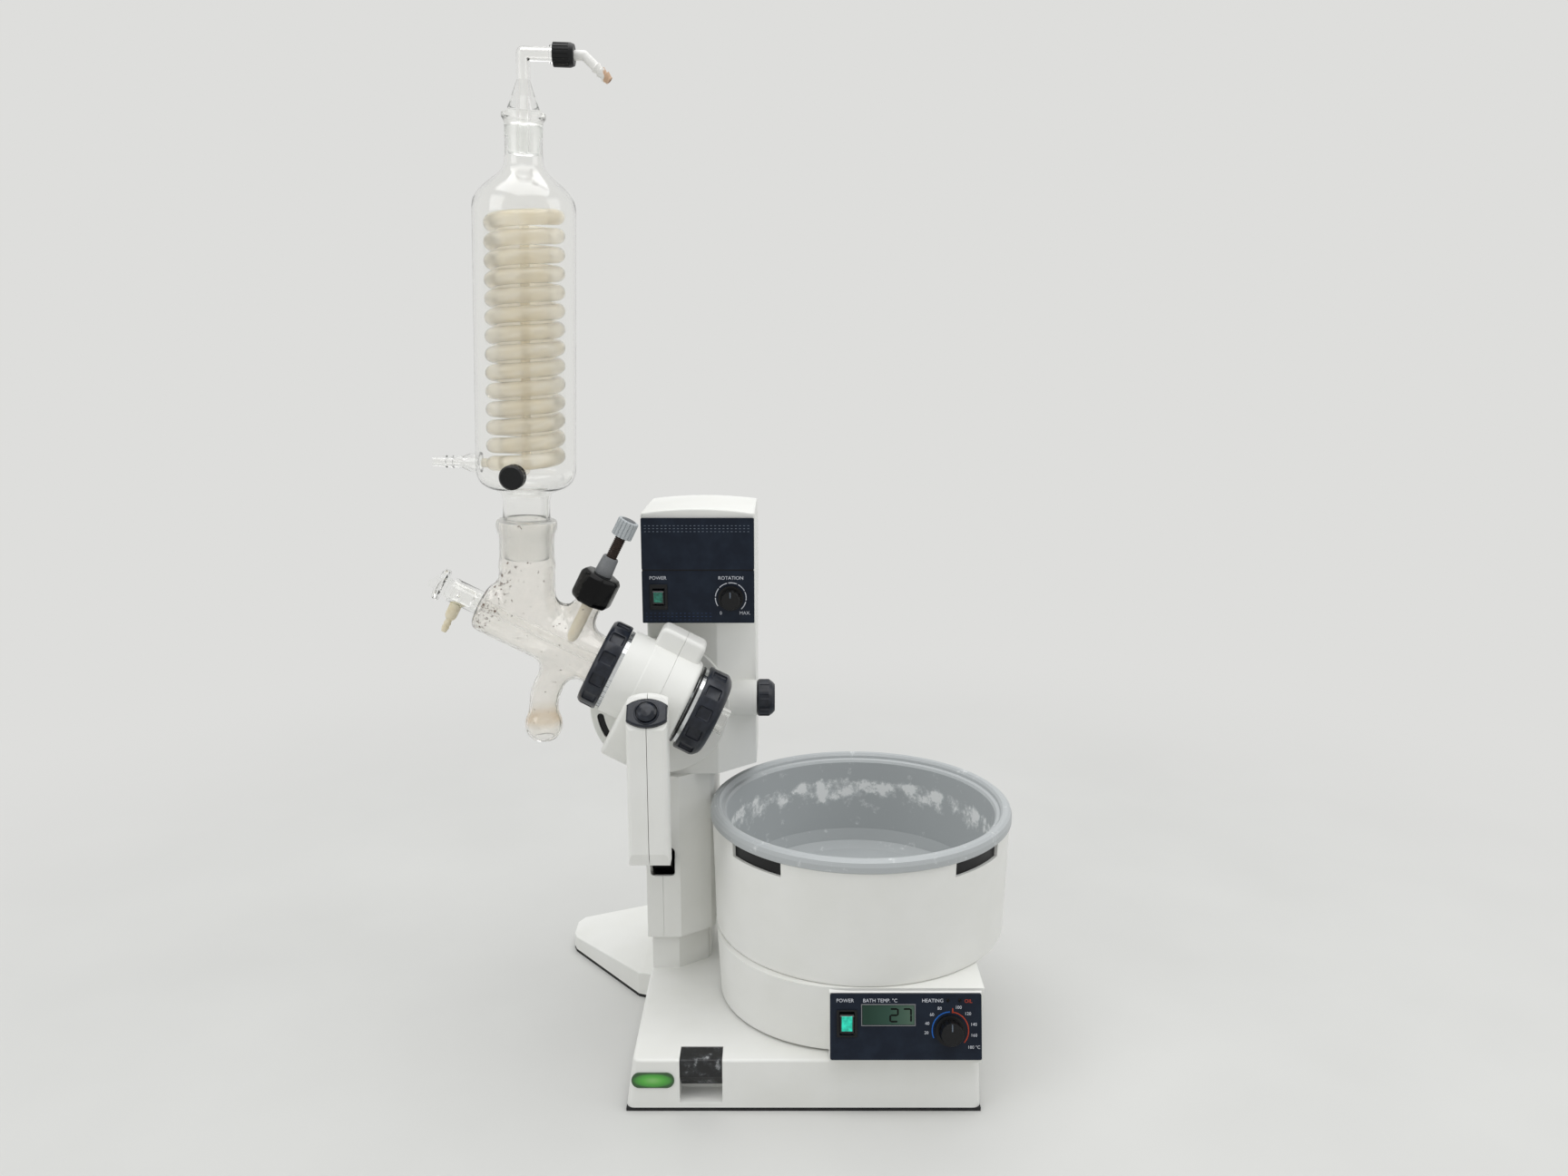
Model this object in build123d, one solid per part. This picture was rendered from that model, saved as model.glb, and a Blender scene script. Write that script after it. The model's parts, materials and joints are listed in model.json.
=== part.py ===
from build123d import *
import math
import os

# Rotary evaporator with a heating bath and a vertical glass condenser.
# Millimetres, +Z up, operator side at -Y. The origin is on the bench below the tower.

os.makedirs("parts", exist_ok=True)

# Fits shared by all pieces: running fit, gap of moving pieces, seat of fixed ones
RUN = 0.05
GAP = 0.4
SEAT = 0.2

# Heights from the bench up: base, bath housing, pan, then the tower above the pan's rim
BASE_TOP = 47.5
RAIL_HEIGHT = 2.0
FOOT_GAP = 0.5
BATH_LOWER_H = 61.0
PAN_LIFT = 22.0
PAN_DEPTH = 84.0
RIM_HEIGHT = 12.0
LIFT_DOWN = 20.0
BATH_FOOT = BASE_TOP + RAIL_HEIGHT + FOOT_GAP
BATH_SPLIT = BATH_FOOT + BATH_LOWER_H
PAN_FLOOR = BATH_SPLIT + PAN_LIFT
BATH_SHELL_TOP = PAN_FLOOR + PAN_DEPTH
PAN_RIM_TOP = BATH_SHELL_TOP + RIM_HEIGHT
COVER_TOP = PAN_RIM_TOP + LIFT_DOWN

# Guide profile that the tower slides on
PROFILE_X = -22.5
PROFILE_Y = 24.0
PROFILE_W = 42.0
PROFILE_D = 62.0
PROFILE_WALL = 4.0
PROFILE_ROUND = 5.0
PROFILE_KEY = 6.0

# Lower tower cover
COVER_LIFT = 36.5
COVER_WALL = 3.0
COVER_SIDE_LEFT = 11.7
COVER_SIDE_RIGHT = 11.0
COVER_SIDE_BACK = 9.0
COVER_FRONT_REACH = 58.0
COVER_FLAT = 32.7
COVER_SHOULDER = 27.0
COVER_BEVEL = 5.5
COVER_BOTTOM = BASE_TOP + COVER_LIFT
COVER_LEFT = PROFILE_X - PROFILE_W / 2 - COVER_SIDE_LEFT
COVER_RIGHT = PROFILE_X + PROFILE_W / 2 + COVER_SIDE_RIGHT
COVER_BACK = PROFILE_Y + PROFILE_D / 2 + COVER_SIDE_BACK
COVER_FRONT = PROFILE_Y - PROFILE_D / 2 - COVER_FRONT_REACH
COVER_SHOULDER_Y = COVER_FRONT + COVER_SHOULDER
COVER = [
    (COVER_LEFT, COVER_FRONT),
    (COVER_LEFT + COVER_FLAT, COVER_FRONT),
    (COVER_RIGHT - 3.5, COVER_SHOULDER_Y - COVER_BEVEL),
    (COVER_RIGHT, COVER_SHOULDER_Y),
    (COVER_RIGHT, COVER_BACK),
    (COVER_LEFT, COVER_BACK),
]
BUSH_HEIGHT = 18.0
BUSH_MARGIN = 7.0

# Fixed skirt that the lower cover slides over
SKIRT_IN_LEFT = 3.6
SKIRT_IN_RIGHT = 5.0
SKIRT_IN_FRONT = 7.0
SKIRT_IN_BACK = 4.0
SKIRT_WALL = 3.0
SKIRT_OPEN_H = 70.0
SKIRT_HEIGHT = 98.5
SKIRT_STEP = 2.5
SKIRT_LEFT = COVER_LEFT + SKIRT_IN_LEFT
SKIRT_RIGHT = COVER_RIGHT - SKIRT_IN_RIGHT
SKIRT_FRONT = COVER_FRONT + SKIRT_IN_FRONT
SKIRT_BACK = COVER_BACK - SKIRT_IN_BACK
SKIRT = [
    (SKIRT_LEFT, SKIRT_FRONT),
    (COVER_LEFT + COVER_FLAT - 2.9, SKIRT_FRONT),
    (SKIRT_RIGHT - SKIRT_STEP, COVER_SHOULDER_Y + 0.8),
    (SKIRT_RIGHT - SKIRT_STEP, COVER_SHOULDER_Y + 4.4),
    (SKIRT_RIGHT, COVER_SHOULDER_Y + 4.4),
    (SKIRT_RIGHT, SKIRT_BACK),
    (SKIRT_LEFT, SKIRT_BACK),
]

# Heating bath, round pan first
PAN_FLOOR_R = 121.0
PAN_FLARE = 6.0
PAN_WALL = 2.0
RIM_WIDTH = 15.5
RIM_OVERHANG = 1.9
SHELL_TAPER = 3.1
SHELL_FLOOR_R = 96.0
BATH_WALL = 3.0
BATH_CLEAR = 2.1
BATH_SETBACK = 32.0
PAN_R = PAN_FLOOR_R + PAN_FLARE
PAN_RIM_R = PAN_R + RIM_WIDTH
SHELL_TOP_R = PAN_RIM_R - RIM_OVERHANG
SHELL_LOW_R = SHELL_TOP_R - SHELL_TAPER
BATH_Y = COVER_SHOULDER_Y - BATH_SETBACK
BATH_X = COVER_RIGHT + math.sqrt((PAN_RIM_R + BATH_CLEAR) ** 2 - BATH_SETBACK ** 2)
GRIP_ANGLE = 12.5
GRIP_HEIGHT = 13.0
GRIP_T = 3.0
GRIPS = 4
HEATER_R = 78.0
HEATER_TUBE = 4.0

# Bath housing below the round shell
BATH_IN_LEFT = 4.5
BATH_IN_RIGHT = 41.0
BATH_IN_FRONT = 2.5
BATH_IN_BACK = 15.5
BATH_ROUND_IN = 19.5
BATH_BACK_ROUND = 50.0
BATH_DRAFT = 3.0
BATH_FLOOR = 2.0
BATH_LEFT = BATH_X - SHELL_LOW_R + BATH_IN_LEFT
BATH_RIGHT = BATH_X + SHELL_LOW_R - BATH_IN_RIGHT
BATH_FRONT = BATH_Y - SHELL_LOW_R + BATH_IN_FRONT
BATH_BACK = BATH_Y + SHELL_LOW_R - BATH_IN_BACK
BATH_CORNER = SHELL_LOW_R - BATH_ROUND_IN

# Bath control box with its sloping panel
BOX_WIDTH = 130.6
BOX_OVERHANG = 18.5
BOX_SLANT = 13.9
BOX_RISE = 3.0
BOX_DROP = 3.4
BOX_DEPTH = 60.0
BATH_PANEL_T = 2.5
BATH_PANEL_SEAT = 1.0
BOX_RIGHT = BATH_RIGHT + 0.6
BOX_LEFT = BOX_RIGHT - BOX_WIDTH
BOX_FRONT = BATH_FRONT - BOX_OVERHANG
BOX_BROW = BOX_FRONT + BOX_SLANT
BOX_LOW = BATH_FOOT + BOX_RISE
BOX_TOP = BATH_SPLIT - BOX_DROP
BATH_ROCKER_U = 14.8 - BOX_WIDTH / 2
BATH_ROCKER_V = 3.0
BATH_ROCKER_W = 12.0
BATH_ROCKER_H = 19.0
BATH_KNOB_U = BOX_WIDTH / 2 - 27.3
BATH_KNOB_V = -3.0
BATH_KNOB_R = 13.0
BATH_KNOB_LEN = 13.0
DISPLAY_U = BATH_ROCKER_U + 35.5
DISPLAY_V = 10.0
DISPLAY_W = 45.0
DISPLAY_H = 17.0

# Base casting: platform, left wing and rear foot
BASE_MARGIN_LEFT = 3.8
BASE_MARGIN_RIGHT = 2.0
BASE_MARGIN_FRONT = 13.0
BASE_DRAFT_LEFT = 6.0
BASE_DRAFT = 2.0
BASE_CORNER = 7.0
BASE_EDGE = 2.5
BASE_WALL = 6.0
BASE_ROOF = 5.0
EDGING_HEIGHT = 3.2
EDGING_WIDTH = 9.0
BASE_LEFT = COVER_LEFT - BASE_MARGIN_LEFT
BASE_RIGHT = BATH_RIGHT + BASE_MARGIN_RIGHT
BASE_FRONT = BATH_FRONT - BASE_MARGIN_FRONT
BASE_BACK = COVER_BACK
WING_REACH = 94.5
WING_ROOT_TOP = 27.0
WING_TIP_TOP = 17.0
WING_EDGE = 1.5
WING_TIP = BASE_LEFT - WING_REACH
WING = [
    (BASE_LEFT + 10.0, -38.0),
    (BASE_LEFT - 11.0, -30.0),
    (WING_TIP + 4.0, 63.0),
    (WING_TIP + 0.5, 72.0),
    (WING_TIP, 99.0),
    (WING_TIP + 6.5, 109.5),
    (BASE_LEFT + 10.0, 129.7),
]
REAR_WIDTH = 124.0
REAR_LENGTH = 76.0
REAR_TOP = 40.0
REAR_ROUND = 18.0
REAR_EDGE = 3.0
REAR_BACK = BASE_BACK + REAR_LENGTH
RAIL_LENGTH = 175.0
RAIL_WIDTH = 12.0
RAIL_SPREAD = 140.0

# Bath lock in the front of the base
LOCK_OFFSET = 46.5
LOCK_WIDTH = 37.1
LOCK_DEPTH = 23.0
LOCK_FLOOR = 8.0
LOCK_TRAVEL = 6.0
LOCK_UNDER = 2.0
LOCK_TOE = 13.0
LOCK_FACE = 16.9
LOCK_WALL = 5.0
LOCK_LEFT = BASE_LEFT + LOCK_OFFSET
LOCK_RIGHT = LOCK_LEFT + LOCK_WIDTH

# Tilt pivot of the drive head, on the tower's front
FLANGE_R = 66.0
FLANGE_T = 6.0
FLANGE_SLOT_W = 6.5
FLANGE_SLOT_DEPTH = 4.0
FLANGE_FOOT = 3.0
FLANGE_HEADROOM = 20.0
PIVOT_OFFSET = 17.0
PIVOT_SHAFT_R = 10.0
PIVOT_BLOCK = 34.0
PIVOT_X = PROFILE_X - PIVOT_OFFSET
PIVOT_Z = COVER_TOP + FLANGE_R + FLANGE_FOOT

# Upper tower housing
TOWER_WALL = 3.0
TOWER_IN_LEFT = 4.7
TOWER_IN_FRONT = 10.0
TOWER_WIDTH = 101.5
TOWER_CHAMFER_X = 36.0
TOWER_CHAMFER_Y = 32.0
TOWER_LEFT = COVER_LEFT + TOWER_IN_LEFT
TOWER_RIGHT = TOWER_LEFT + TOWER_WIDTH
TOWER_FRONT = COVER_FRONT + TOWER_IN_FRONT
TOWER = [
    (TOWER_LEFT, TOWER_FRONT),
    (TOWER_RIGHT - TOWER_CHAMFER_X, TOWER_FRONT),
    (TOWER_RIGHT, TOWER_FRONT + TOWER_CHAMFER_Y),
    (TOWER_RIGHT, COVER_BACK),
    (TOWER_LEFT, COVER_BACK),
]
FLANGE_BACK = TOWER_FRONT - 1.0
PIVOT_END = PROFILE_Y - PROFILE_D / 2 - 3.0

# Control head on top of the tower, with two front panels
HEAD_OVERHANG = 25.0
HEAD_CHEEK = 1.0
HEAD_CHEEK_RIGHT = 0.5
HEAD_SHELL = 4.0
HEAD_ARCH = 4.0
HEAD_ROOF = 6.0
HEAD_DEPTH = 100.0
HEAD_BACK_DROP = 36.0
PANEL_T = 3.0
PANEL_MARGIN = 0.5
PANEL_JOINT = 1.2
CONTROL_PANEL_H = 48.4
UPPER_PANEL_H = 46.9
PANEL_BROW = 4.5
BRIDGE_DROP = 14.0
BRIDGE_H = 6.0
HEAD_LEFT = TOWER_LEFT - HEAD_CHEEK
HEAD_RIGHT = TOWER_RIGHT + HEAD_CHEEK_RIGHT
HEAD_FRONT = TOWER_FRONT - HEAD_OVERHANG
HEAD_BOTTOM = PIVOT_Z + FLANGE_R + FLANGE_HEADROOM
CONTROL_TOP = HEAD_BOTTOM + CONTROL_PANEL_H
UPPER_LOW = CONTROL_TOP + PANEL_JOINT
PANEL_TOP = UPPER_LOW + UPPER_PANEL_H
TOWER_TOP = PANEL_TOP + PANEL_BROW
BRIDGE_Z = HEAD_BOTTOM - BRIDGE_DROP
PROFILE_HEADROOM = 38.0
PROFILE_TOP = BRIDGE_Z - PROFILE_HEADROOM

# Gas spring inside the guide profile
STRUT_R = 12.0
STRUT_BORE = 9.4
STRUT_LENGTH = 202.5
STRUT_END = 10.0
STRUT_FOOT = 8.0
STRUT_ROD_R = 4.0
STRUT_PISTON_H = 10.0
STRUT_PISTON_LIFT = 74.5
STRUT_TOP = BASE_TOP + STRUT_LENGTH
STRUT_PISTON_Z = BASE_TOP + STRUT_PISTON_LIFT

# Rocker and speed knob in the tower panel
ROCKER_W = 10.0
ROCKER_H = 15.0
ROCKER_TILT = 8.0
ROCKER_FLAT = 0.66
ROCKER_CLEAR = 0.5
ROCKER_DEPTH = 3.4
ROCKER_X = HEAD_LEFT + 15.2
ROCKER_Z = HEAD_BOTTOM + 24.0
KNOB_X = HEAD_RIGHT - 21.9
KNOB_Z = HEAD_BOTTOM + 23.4
KNOB_R = 11.5
KNOB_LEN = 14.0
KNOB_STEM_R = 3.0
KNOB_STEM_LEN = 14.2
BATH_STEM_LEN = 9.0
KNOB_SKIRT = 2.5
BOARD_T = 1.6
BOARD_EDGE = 8.0
CHIP_PITCH = 20.0
CHIP_W = 12.0

# Tilt clamp
CLAMP_Y = TOWER_FRONT + 17.0
CLAMP_Z = PIVOT_Z + 2.0
CLAMP_BOSS_R = 17.0
CLAMP_BOSS_END = TOWER_RIGHT + 1.0
CLAMP_KNOB_R = 17.8
CLAMP_KNOB_LEN = 16.8
CLAMP_SCREW_R = 4.0
CLAMP_BACKOFF = 1.0
CLAMP_GRIPS = 10

# Hollow shaft and its bearings in the drive head
DUCT_R = 12.4
DUCT_WALL = 2.2
DUCT_COLLAR = 2.6
SHAFT_WALL = 3.8
SHAFT_SLACK = 0.8
BEARING_RING = 9.0
PULLEY_RIM = 10.0
PULLEY_W = 8.0
PULLEY_TEETH = 30
BELT_T = 1.6
BELT_SLACK = 0.3
DUCT_BORE = DUCT_R - DUCT_WALL
SHAFT_BORE = DUCT_R + SHAFT_SLACK
SHAFT_R = SHAFT_BORE + SHAFT_WALL
BEARING_R = SHAFT_R + BEARING_RING
PULLEY_R = SHAFT_R + PULLEY_RIM

# Drive head: local x runs along the drive axis towards the flask, local z is up from it
HEAD_TILT = 27.0
HEAD_RISE = 31.0
BODY_MARGIN = 14.0
BODY_WALL = 3.0
BODY_LEFT = 18.0
BODY_RIGHT = 31.0
BODY_SEAM = 6.0
BODY_DROP = 35.0
BODY_EDGE = 4.0
BODY_GAP = 3.0
HUMP_RISE = 17.0
HUMP_FRONT = 8.0
HUMP_BACK = 17.0
COLLAR_LEN = 18.5
MOTOR_R = 20.0
MOTOR_PULLEY_R = 8.0
MOTOR_SHAFT_R = 3.1
MOTOR_END = 5.0
WEB_S0 = 7.0
WEB_S1 = 17.0
PULLEY_S0 = 18.6
BODY_R = BEARING_R + BODY_MARGIN
COLLAR_R = BODY_R - 0.5
COLLAR_S0 = -BODY_LEFT - COLLAR_LEN
MOTOR_DROP = PULLEY_R + MOTOR_PULLEY_R + 2 * (BELT_T + BELT_SLACK) + 1.2
HX = PIVOT_X
HY = FLANGE_BACK - FLANGE_T - BODY_GAP - BODY_R
HZ = PIVOT_Z + HEAD_RISE

# Union nut of the condenser at the left, flask nut at the right
NUT_GRIPS = 10
NUT_STANDOFF = 3.7
NUT_LEN = 18.3
NUT_TAPER = 4.5
NUT_STEP = 8.6
NUT_RING_R = 35.0
RING_NOTCHES = 36
RING_T = 3.4
NUT_S1 = COLLAR_S0 - NUT_STANDOFF
NUT_S0 = NUT_S1 - NUT_LEN
NUT_R1 = BODY_R + 0.5
NUT_R0 = NUT_R1 - NUT_TAPER
FLASK_STANDOFF = 7.0
FLASK_LEN = 24.0
FLASK_TAPER = 8.0
FLASK_STEP = 10.4
DUCT_REACH = 10.0
FLASK_S0 = BODY_RIGHT + FLASK_STANDOFF
FLASK_S1 = FLASK_S0 + FLASK_LEN
FLASK_R0 = BODY_R
FLASK_R1 = FLASK_R0 - FLASK_TAPER
DUCT_END = FLASK_S1 + DUCT_REACH

# Hand lever in front of the drive head
LEVER_W = 35.6
LEVER_T = 24.0
LEVER_LEN = 153.0
LEVER_GAP = 5.0
LEVER_SEAM = 0.5
LEVER_CROWN = 30.0
LEVER_RISE = 56.0
LEVER_DROP = 99.0
CAP_DROP = 28.0
CAP_W = 35.0
CAP_H = 26.0
CAP_ARC = 30.0
CAP_T = 5.5
CAP_SEAT = 3.0
CAP_SLOPE = 52.0
ARM_W = 18.0
ARM_H = 14.0
ARM_RISE = 16.0
AXLE_R = 5.0
HUB_R = 11.0
CHEEK_T = 3.6
CHEEK_GAP = 1.9
CHEEK_HALF = 12.0
SLOT_SIDE = 12.0
SLOT_UP = 27.0
SLOT_DOWN = 2.0
BUTTON_R = 8.6
BUTTON_TRAVEL = 2.0
BUTTON_STEM_R = 3.0
LEVER_X = PIVOT_X
LEVER_Y = HY - BODY_R - LEVER_GAP - LEVER_T / 2
LEVER_PIVOT_Y = TOWER_FRONT + 17.0
LEVER_PIVOT_Z = COVER_TOP - LEVER_DROP
LEVER_BOTTOM = LEVER_PIVOT_Z + LEVER_RISE
LEVER_TOP = LEVER_BOTTOM + LEVER_LEN
LEVER_CAP_LOW = LEVER_TOP - CAP_DROP

# Glass manifold: tube on the drive axis with a neck, a branch, an outlet and a stopcock
GLASS = 2.4
TUBE_R = 23.0
TUBE_FLANGE = 6.0
TUBE_TAIL = 38.2
BRANCH_R = 12.6
BRANCH_TOP = 47.0
BRANCH_TO_NUT = 27.5
NECK_TO_BRANCH = 39.8
NECK_LEAN = 1.95
OUTLET_R = 13.4
OUTLET_BACK = 3.4
OUTLET_REACH = 46.7
BALL_DROP = 33.0
BALL_R = 17.4
BALL_BORE = 10.5
FEED_R = 5.0
FEED_WALL = 1.4
STOPCOCK_R = 10.8
STOPCOCK_LEN = 36.0
STOPCOCK_WALL = 2.6
PLUG_FLANGE_R = 14.6
SPOUT_S = 9.0
SPOUT_DROP = 38.5
BRANCH_S = NUT_S0 - BRANCH_TO_NUT
NECK_S = BRANCH_S - NECK_TO_BRANCH
TUBE_END = NECK_S - TUBE_TAIL
STOPCOCK_END = TUBE_END - STOPCOCK_LEN
TUBE_LIP = NUT_S0 + 14.0

# Condenser, in the leaning frame whose origin is on the drive axis
CONE_LOW = 62.0
CONE_R = 19.5
CONE_TAPER = 0.04
SOCKET_LEN = 36.0
SOCKET_RIM = 7.0
FOOT_LEN = 19.0
JACKET_BASE = 17.0
JACKET_ROOM = 9.3
COIL_R = 28.4
COIL_TUBE = 5.2
COIL_PITCH = 15.4
COIL_TURNS = 13.5
COIL_LIFT = 11.0
COIL_PIPE = 4.0
SHOULDER_H = 44.0
TOP_JOINT_H = 36.0
TOP_JOINT_R = 15.6
NIPPLE_LEN = 38.0
NIPPLE_RIBS = 4
PORT_DROP = 5.6
PORT_R = 8.0
CAP_R = 10.3
CAP_FLUTES = 18
ELBOW_RISE = 46.5
ELBOW_R = 5.6
ELBOW_BORE = 3.6
ELBOW_ARM = 36.0
VACUUM_CAP_R = 9.6
BARB_R = 4.0
BARB_BORE = 2.0
BARB_BEND = 42.0
NECK_R = CONE_R + 2 * GLASS
SOCKET_R = CONE_R + SOCKET_RIM
SOCKET_TOP = CONE_LOW + SOCKET_LEN
JACKET_FOOT = SOCKET_TOP + FOOT_LEN
JACKET_LOW = JACKET_FOOT + JACKET_BASE
JACKET_R = COIL_R + COIL_TUBE + JACKET_ROOM
COIL_LOW = JACKET_LOW + COIL_LIFT
COIL_HEIGHT = COIL_PITCH * COIL_TURNS
JACKET_SHOULDER = COIL_LOW + COIL_HEIGHT + 1.1
JACKET_NECK = JACKET_SHOULDER + SHOULDER_H
JACKET_TOP = JACKET_NECK + TOP_JOINT_H
NIPPLE_Z = COIL_LOW
PORT_Z = COIL_LOW - PORT_DROP
ELBOW_Z = JACKET_TOP + ELBOW_RISE

# Stem valve on the branch
VALVE_NUT_R = 16.8
VALVE_NUT_H = 28.5
VALVE_FLUTES = 12
VALVE_COLLAR_R = 6.5
VALVE_KNOB_R = 9.4
VALVE_KNOB_H = 17.0
SPINDLE_R = 4.9
SPINDLE_GROOVES = 5
VALVE_BASE = BRANCH_TOP - 2.0
VALVE_TOP = VALVE_BASE + VALVE_NUT_H


# Small shape helpers
def prism(points, z0, z1):
    face = make_face(Polyline(*points, close=True))
    return Pos(0, 0, z0) * extrude(face, z1 - z0)


def slab_x(points, x0, x1):
    face = make_face(Polyline(*[(0, y, z) for y, z in points], close=True))
    return Pos(x0, 0, 0) * extrude(face, x1 - x0, dir=(1, 0, 0))


def slab_y(points, y0, y1):
    face = make_face(Polyline(*[(x, 0, z) for x, z in points], close=True))
    return Pos(0, y0, 0) * extrude(face, y1 - y0, dir=(0, 1, 0))


def block(x0, x1, y0, y1, z0, z1):
    centre = Pos((x0 + x1) / 2, (y0 + y1) / 2, (z0 + z1) / 2)
    return centre * Box(x1 - x0, y1 - y0, z1 - z0)


def disc(radius, z0, z1):
    return Pos(0, 0, (z0 + z1) / 2) * Cylinder(radius, z1 - z0)


def pin_x(radius, x0, x1):
    return Rot(0, 90, 0) * disc(radius, x0, x1)


def pin_y(radius, y0, y1):
    return Rot(90, 0, 0) * disc(radius, -y1, -y0)


def turned(points):
    face = Plane.XZ * make_face(Polyline(*points, close=True))
    return revolve(face, Axis.Z)


def tube(outer, inner, z0, z1):
    return disc(outer, z0, z1) - disc(inner, z0 - 1, z1 + 1)


def inset(points, amount):
    face = make_face(Polyline(*points, close=True))
    return offset(face, -amount, kind=Kind.INTERSECTION)


def around(solid, cutter, count, start=0.0):
    for i in range(count):
        solid -= Rot(0, 0, start + 360.0 * i / count) * cutter
    return solid


# Poses of the tilted head, of the leaning condenser, of the outlet ball and of the bath panel
HEAD = Pos(HX, HY, HZ) * Rot(0, HEAD_TILT, 0)
ALONG = Rot(0, 90, 0)
NECK_ORIGIN = (HEAD * Pos(NECK_S, 0, 0)).position
LEAN = Pos(*NECK_ORIGIN) * Rot(0, NECK_LEAN, 0)
KNEE = (HEAD * Pos(BRANCH_S - OUTLET_BACK, 0, -OUTLET_REACH)).position
BALL = Pos(KNEE.X, HY, KNEE.Z - BALL_DROP)
BOX_SLOPE = math.degrees(math.atan2(BOX_TOP - BOX_LOW, BOX_BROW - BOX_FRONT))
BOX_LENGTH = math.hypot(BOX_TOP - BOX_LOW, BOX_BROW - BOX_FRONT)
BOX_MID = ((BOX_LEFT + BOX_RIGHT) / 2, (BOX_FRONT + BOX_BROW) / 2, (BOX_LOW + BOX_TOP) / 2)
PANEL = Pos(*BOX_MID) * Rot(BOX_SLOPE, 0, 0)
STRUT = Pos(PROFILE_X, PROFILE_Y, 0)
BATH = Pos(BATH_X, BATH_Y, 0)


def on_axis(shape):
    return HEAD * ALONG * shape


# Base
def rectangle_points(x0, x1, y0, y1):
    return [(x0, y0), (x1, y0), (x1, y1), (x0, y1)]


def platform_block():
    low = rectangle_points(BASE_LEFT, BASE_RIGHT, BASE_FRONT, BASE_BACK)
    left = BASE_LEFT + BASE_DRAFT_LEFT
    high = rectangle_points(left, BASE_RIGHT - BASE_DRAFT, BASE_FRONT + BASE_DRAFT, BASE_BACK)
    bottom = Pos(0, 0, EDGING_HEIGHT) * make_face(Polyline(*low, close=True))
    top = Pos(0, 0, BASE_TOP) * make_face(Polyline(*high, close=True))
    solid = loft([bottom.face(), top.face()])
    corners = solid.edges().filter_by(lambda e: e.length < 1.4 * BASE_TOP)
    solid = fillet(corners.sort_by(Axis.Y)[:2], BASE_CORNER)
    return fillet(solid.faces().sort_by(Axis.Z)[-1].edges().sort_by(Axis.Y)[:4], BASE_EDGE)


def base_wing():
    wing = prism(WING, EDGING_HEIGHT, WING_ROOT_TOP)
    hinge = BASE_LEFT - 7.0
    slope = math.degrees(math.atan2(WING_ROOT_TOP - WING_TIP_TOP, WING_REACH - 7.0))
    above = Pos(-WING_REACH, 0, WING_ROOT_TOP) * Box(2 * WING_REACH + 20, 600, 2 * WING_ROOT_TOP)
    wing -= Pos(hinge, 0, WING_ROOT_TOP) * Rot(0, -slope, 0) * above
    top = wing.faces().filter_by(lambda f: f.normal_at().Z > 0.9)
    ridge = [e for e in top.edges() if e.center().X < hinge]
    return fillet(ridge, WING_EDGE)


def rear_foot():
    half = REAR_WIDTH / 2
    rear = block(-half, half, BASE_BACK - 10, REAR_BACK, EDGING_HEIGHT, REAR_TOP)
    rear = fillet(rear.edges().filter_by(Axis.Z).sort_by(Axis.Y)[-2:], REAR_ROUND)
    return fillet(rear.faces().sort_by(Axis.Z)[-1].edges().sort_by(Axis.Y)[1:], REAR_EDGE)


def bath_rails():
    x0 = BATH_RIGHT - 12 - RAIL_LENGTH
    rails = []
    for y in (BATH_Y - RAIL_SPREAD / 2 - RAIL_WIDTH, BATH_Y + RAIL_SPREAD / 2):
        rails.append(block(x0, BATH_RIGHT - 12, y, y + RAIL_WIDTH, BASE_TOP - 1, BASE_TOP + RAIL_HEIGHT))
    return rails[0] + rails[1]


def base_casting():
    solid = platform_block() + base_wing() + rear_foot()
    wall = BASE_WALL
    half = REAR_WIDTH / 2 - wall
    left = BASE_LEFT + BASE_DRAFT_LEFT + wall
    front = BASE_FRONT + BASE_DRAFT + wall
    solid -= block(left, BASE_RIGHT - BASE_DRAFT - wall, front, BASE_BACK - wall, 0, BASE_TOP - BASE_ROOF)
    solid -= block(-half, half, BASE_BACK, REAR_BACK - 2 * wall, 0, REAR_TOP - BASE_ROOF)
    x0, x1, back = LOCK_LEFT, LOCK_RIGHT, BASE_FRONT + LOCK_DEPTH
    solid += block(x0 - LOCK_WALL, x1 + LOCK_WALL, front - 1, back + LOCK_WALL, EDGING_HEIGHT, BASE_TOP - 1)
    solid -= block(x0, x1, BASE_FRONT - 5, back, LOCK_FLOOR, BASE_TOP + 5)
    return solid + bath_rails()


def base_edging():
    half = REAR_WIDTH / 2
    platform = rectangle_points(BASE_LEFT, BASE_RIGHT, BASE_FRONT, BASE_BACK)
    rear = rectangle_points(-half, half, 0, REAR_BACK)
    outline = make_face(Polyline(*platform, close=True))
    outline += make_face(Polyline(*rear, close=True)) + make_face(Polyline(*WING, close=True))
    inner = offset(outline, -EDGING_WIDTH, kind=Kind.INTERSECTION)
    return extrude(outline - inner, EDGING_HEIGHT)


def bath_lock():
    top = BASE_TOP - SEAT - GAP
    low = LOCK_FLOOR + LOCK_TRAVEL + LOCK_UNDER
    front = BASE_FRONT + BASE_DRAFT + SEAT + GAP
    back = BASE_FRONT + LOCK_DEPTH - GAP
    side = [(front, top), (back, top), (back, low), (front + LOCK_TOE, low), (front + 1.5, top - LOCK_FACE)]
    solid = slab_x(side, LOCK_LEFT + GAP, LOCK_RIGHT - GAP)
    edge = solid.edges().filter_by(Axis.X).sort_by(Axis.Z)[-2:].sort_by(Axis.Y)[:1]
    return fillet(edge, 2.0)


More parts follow.
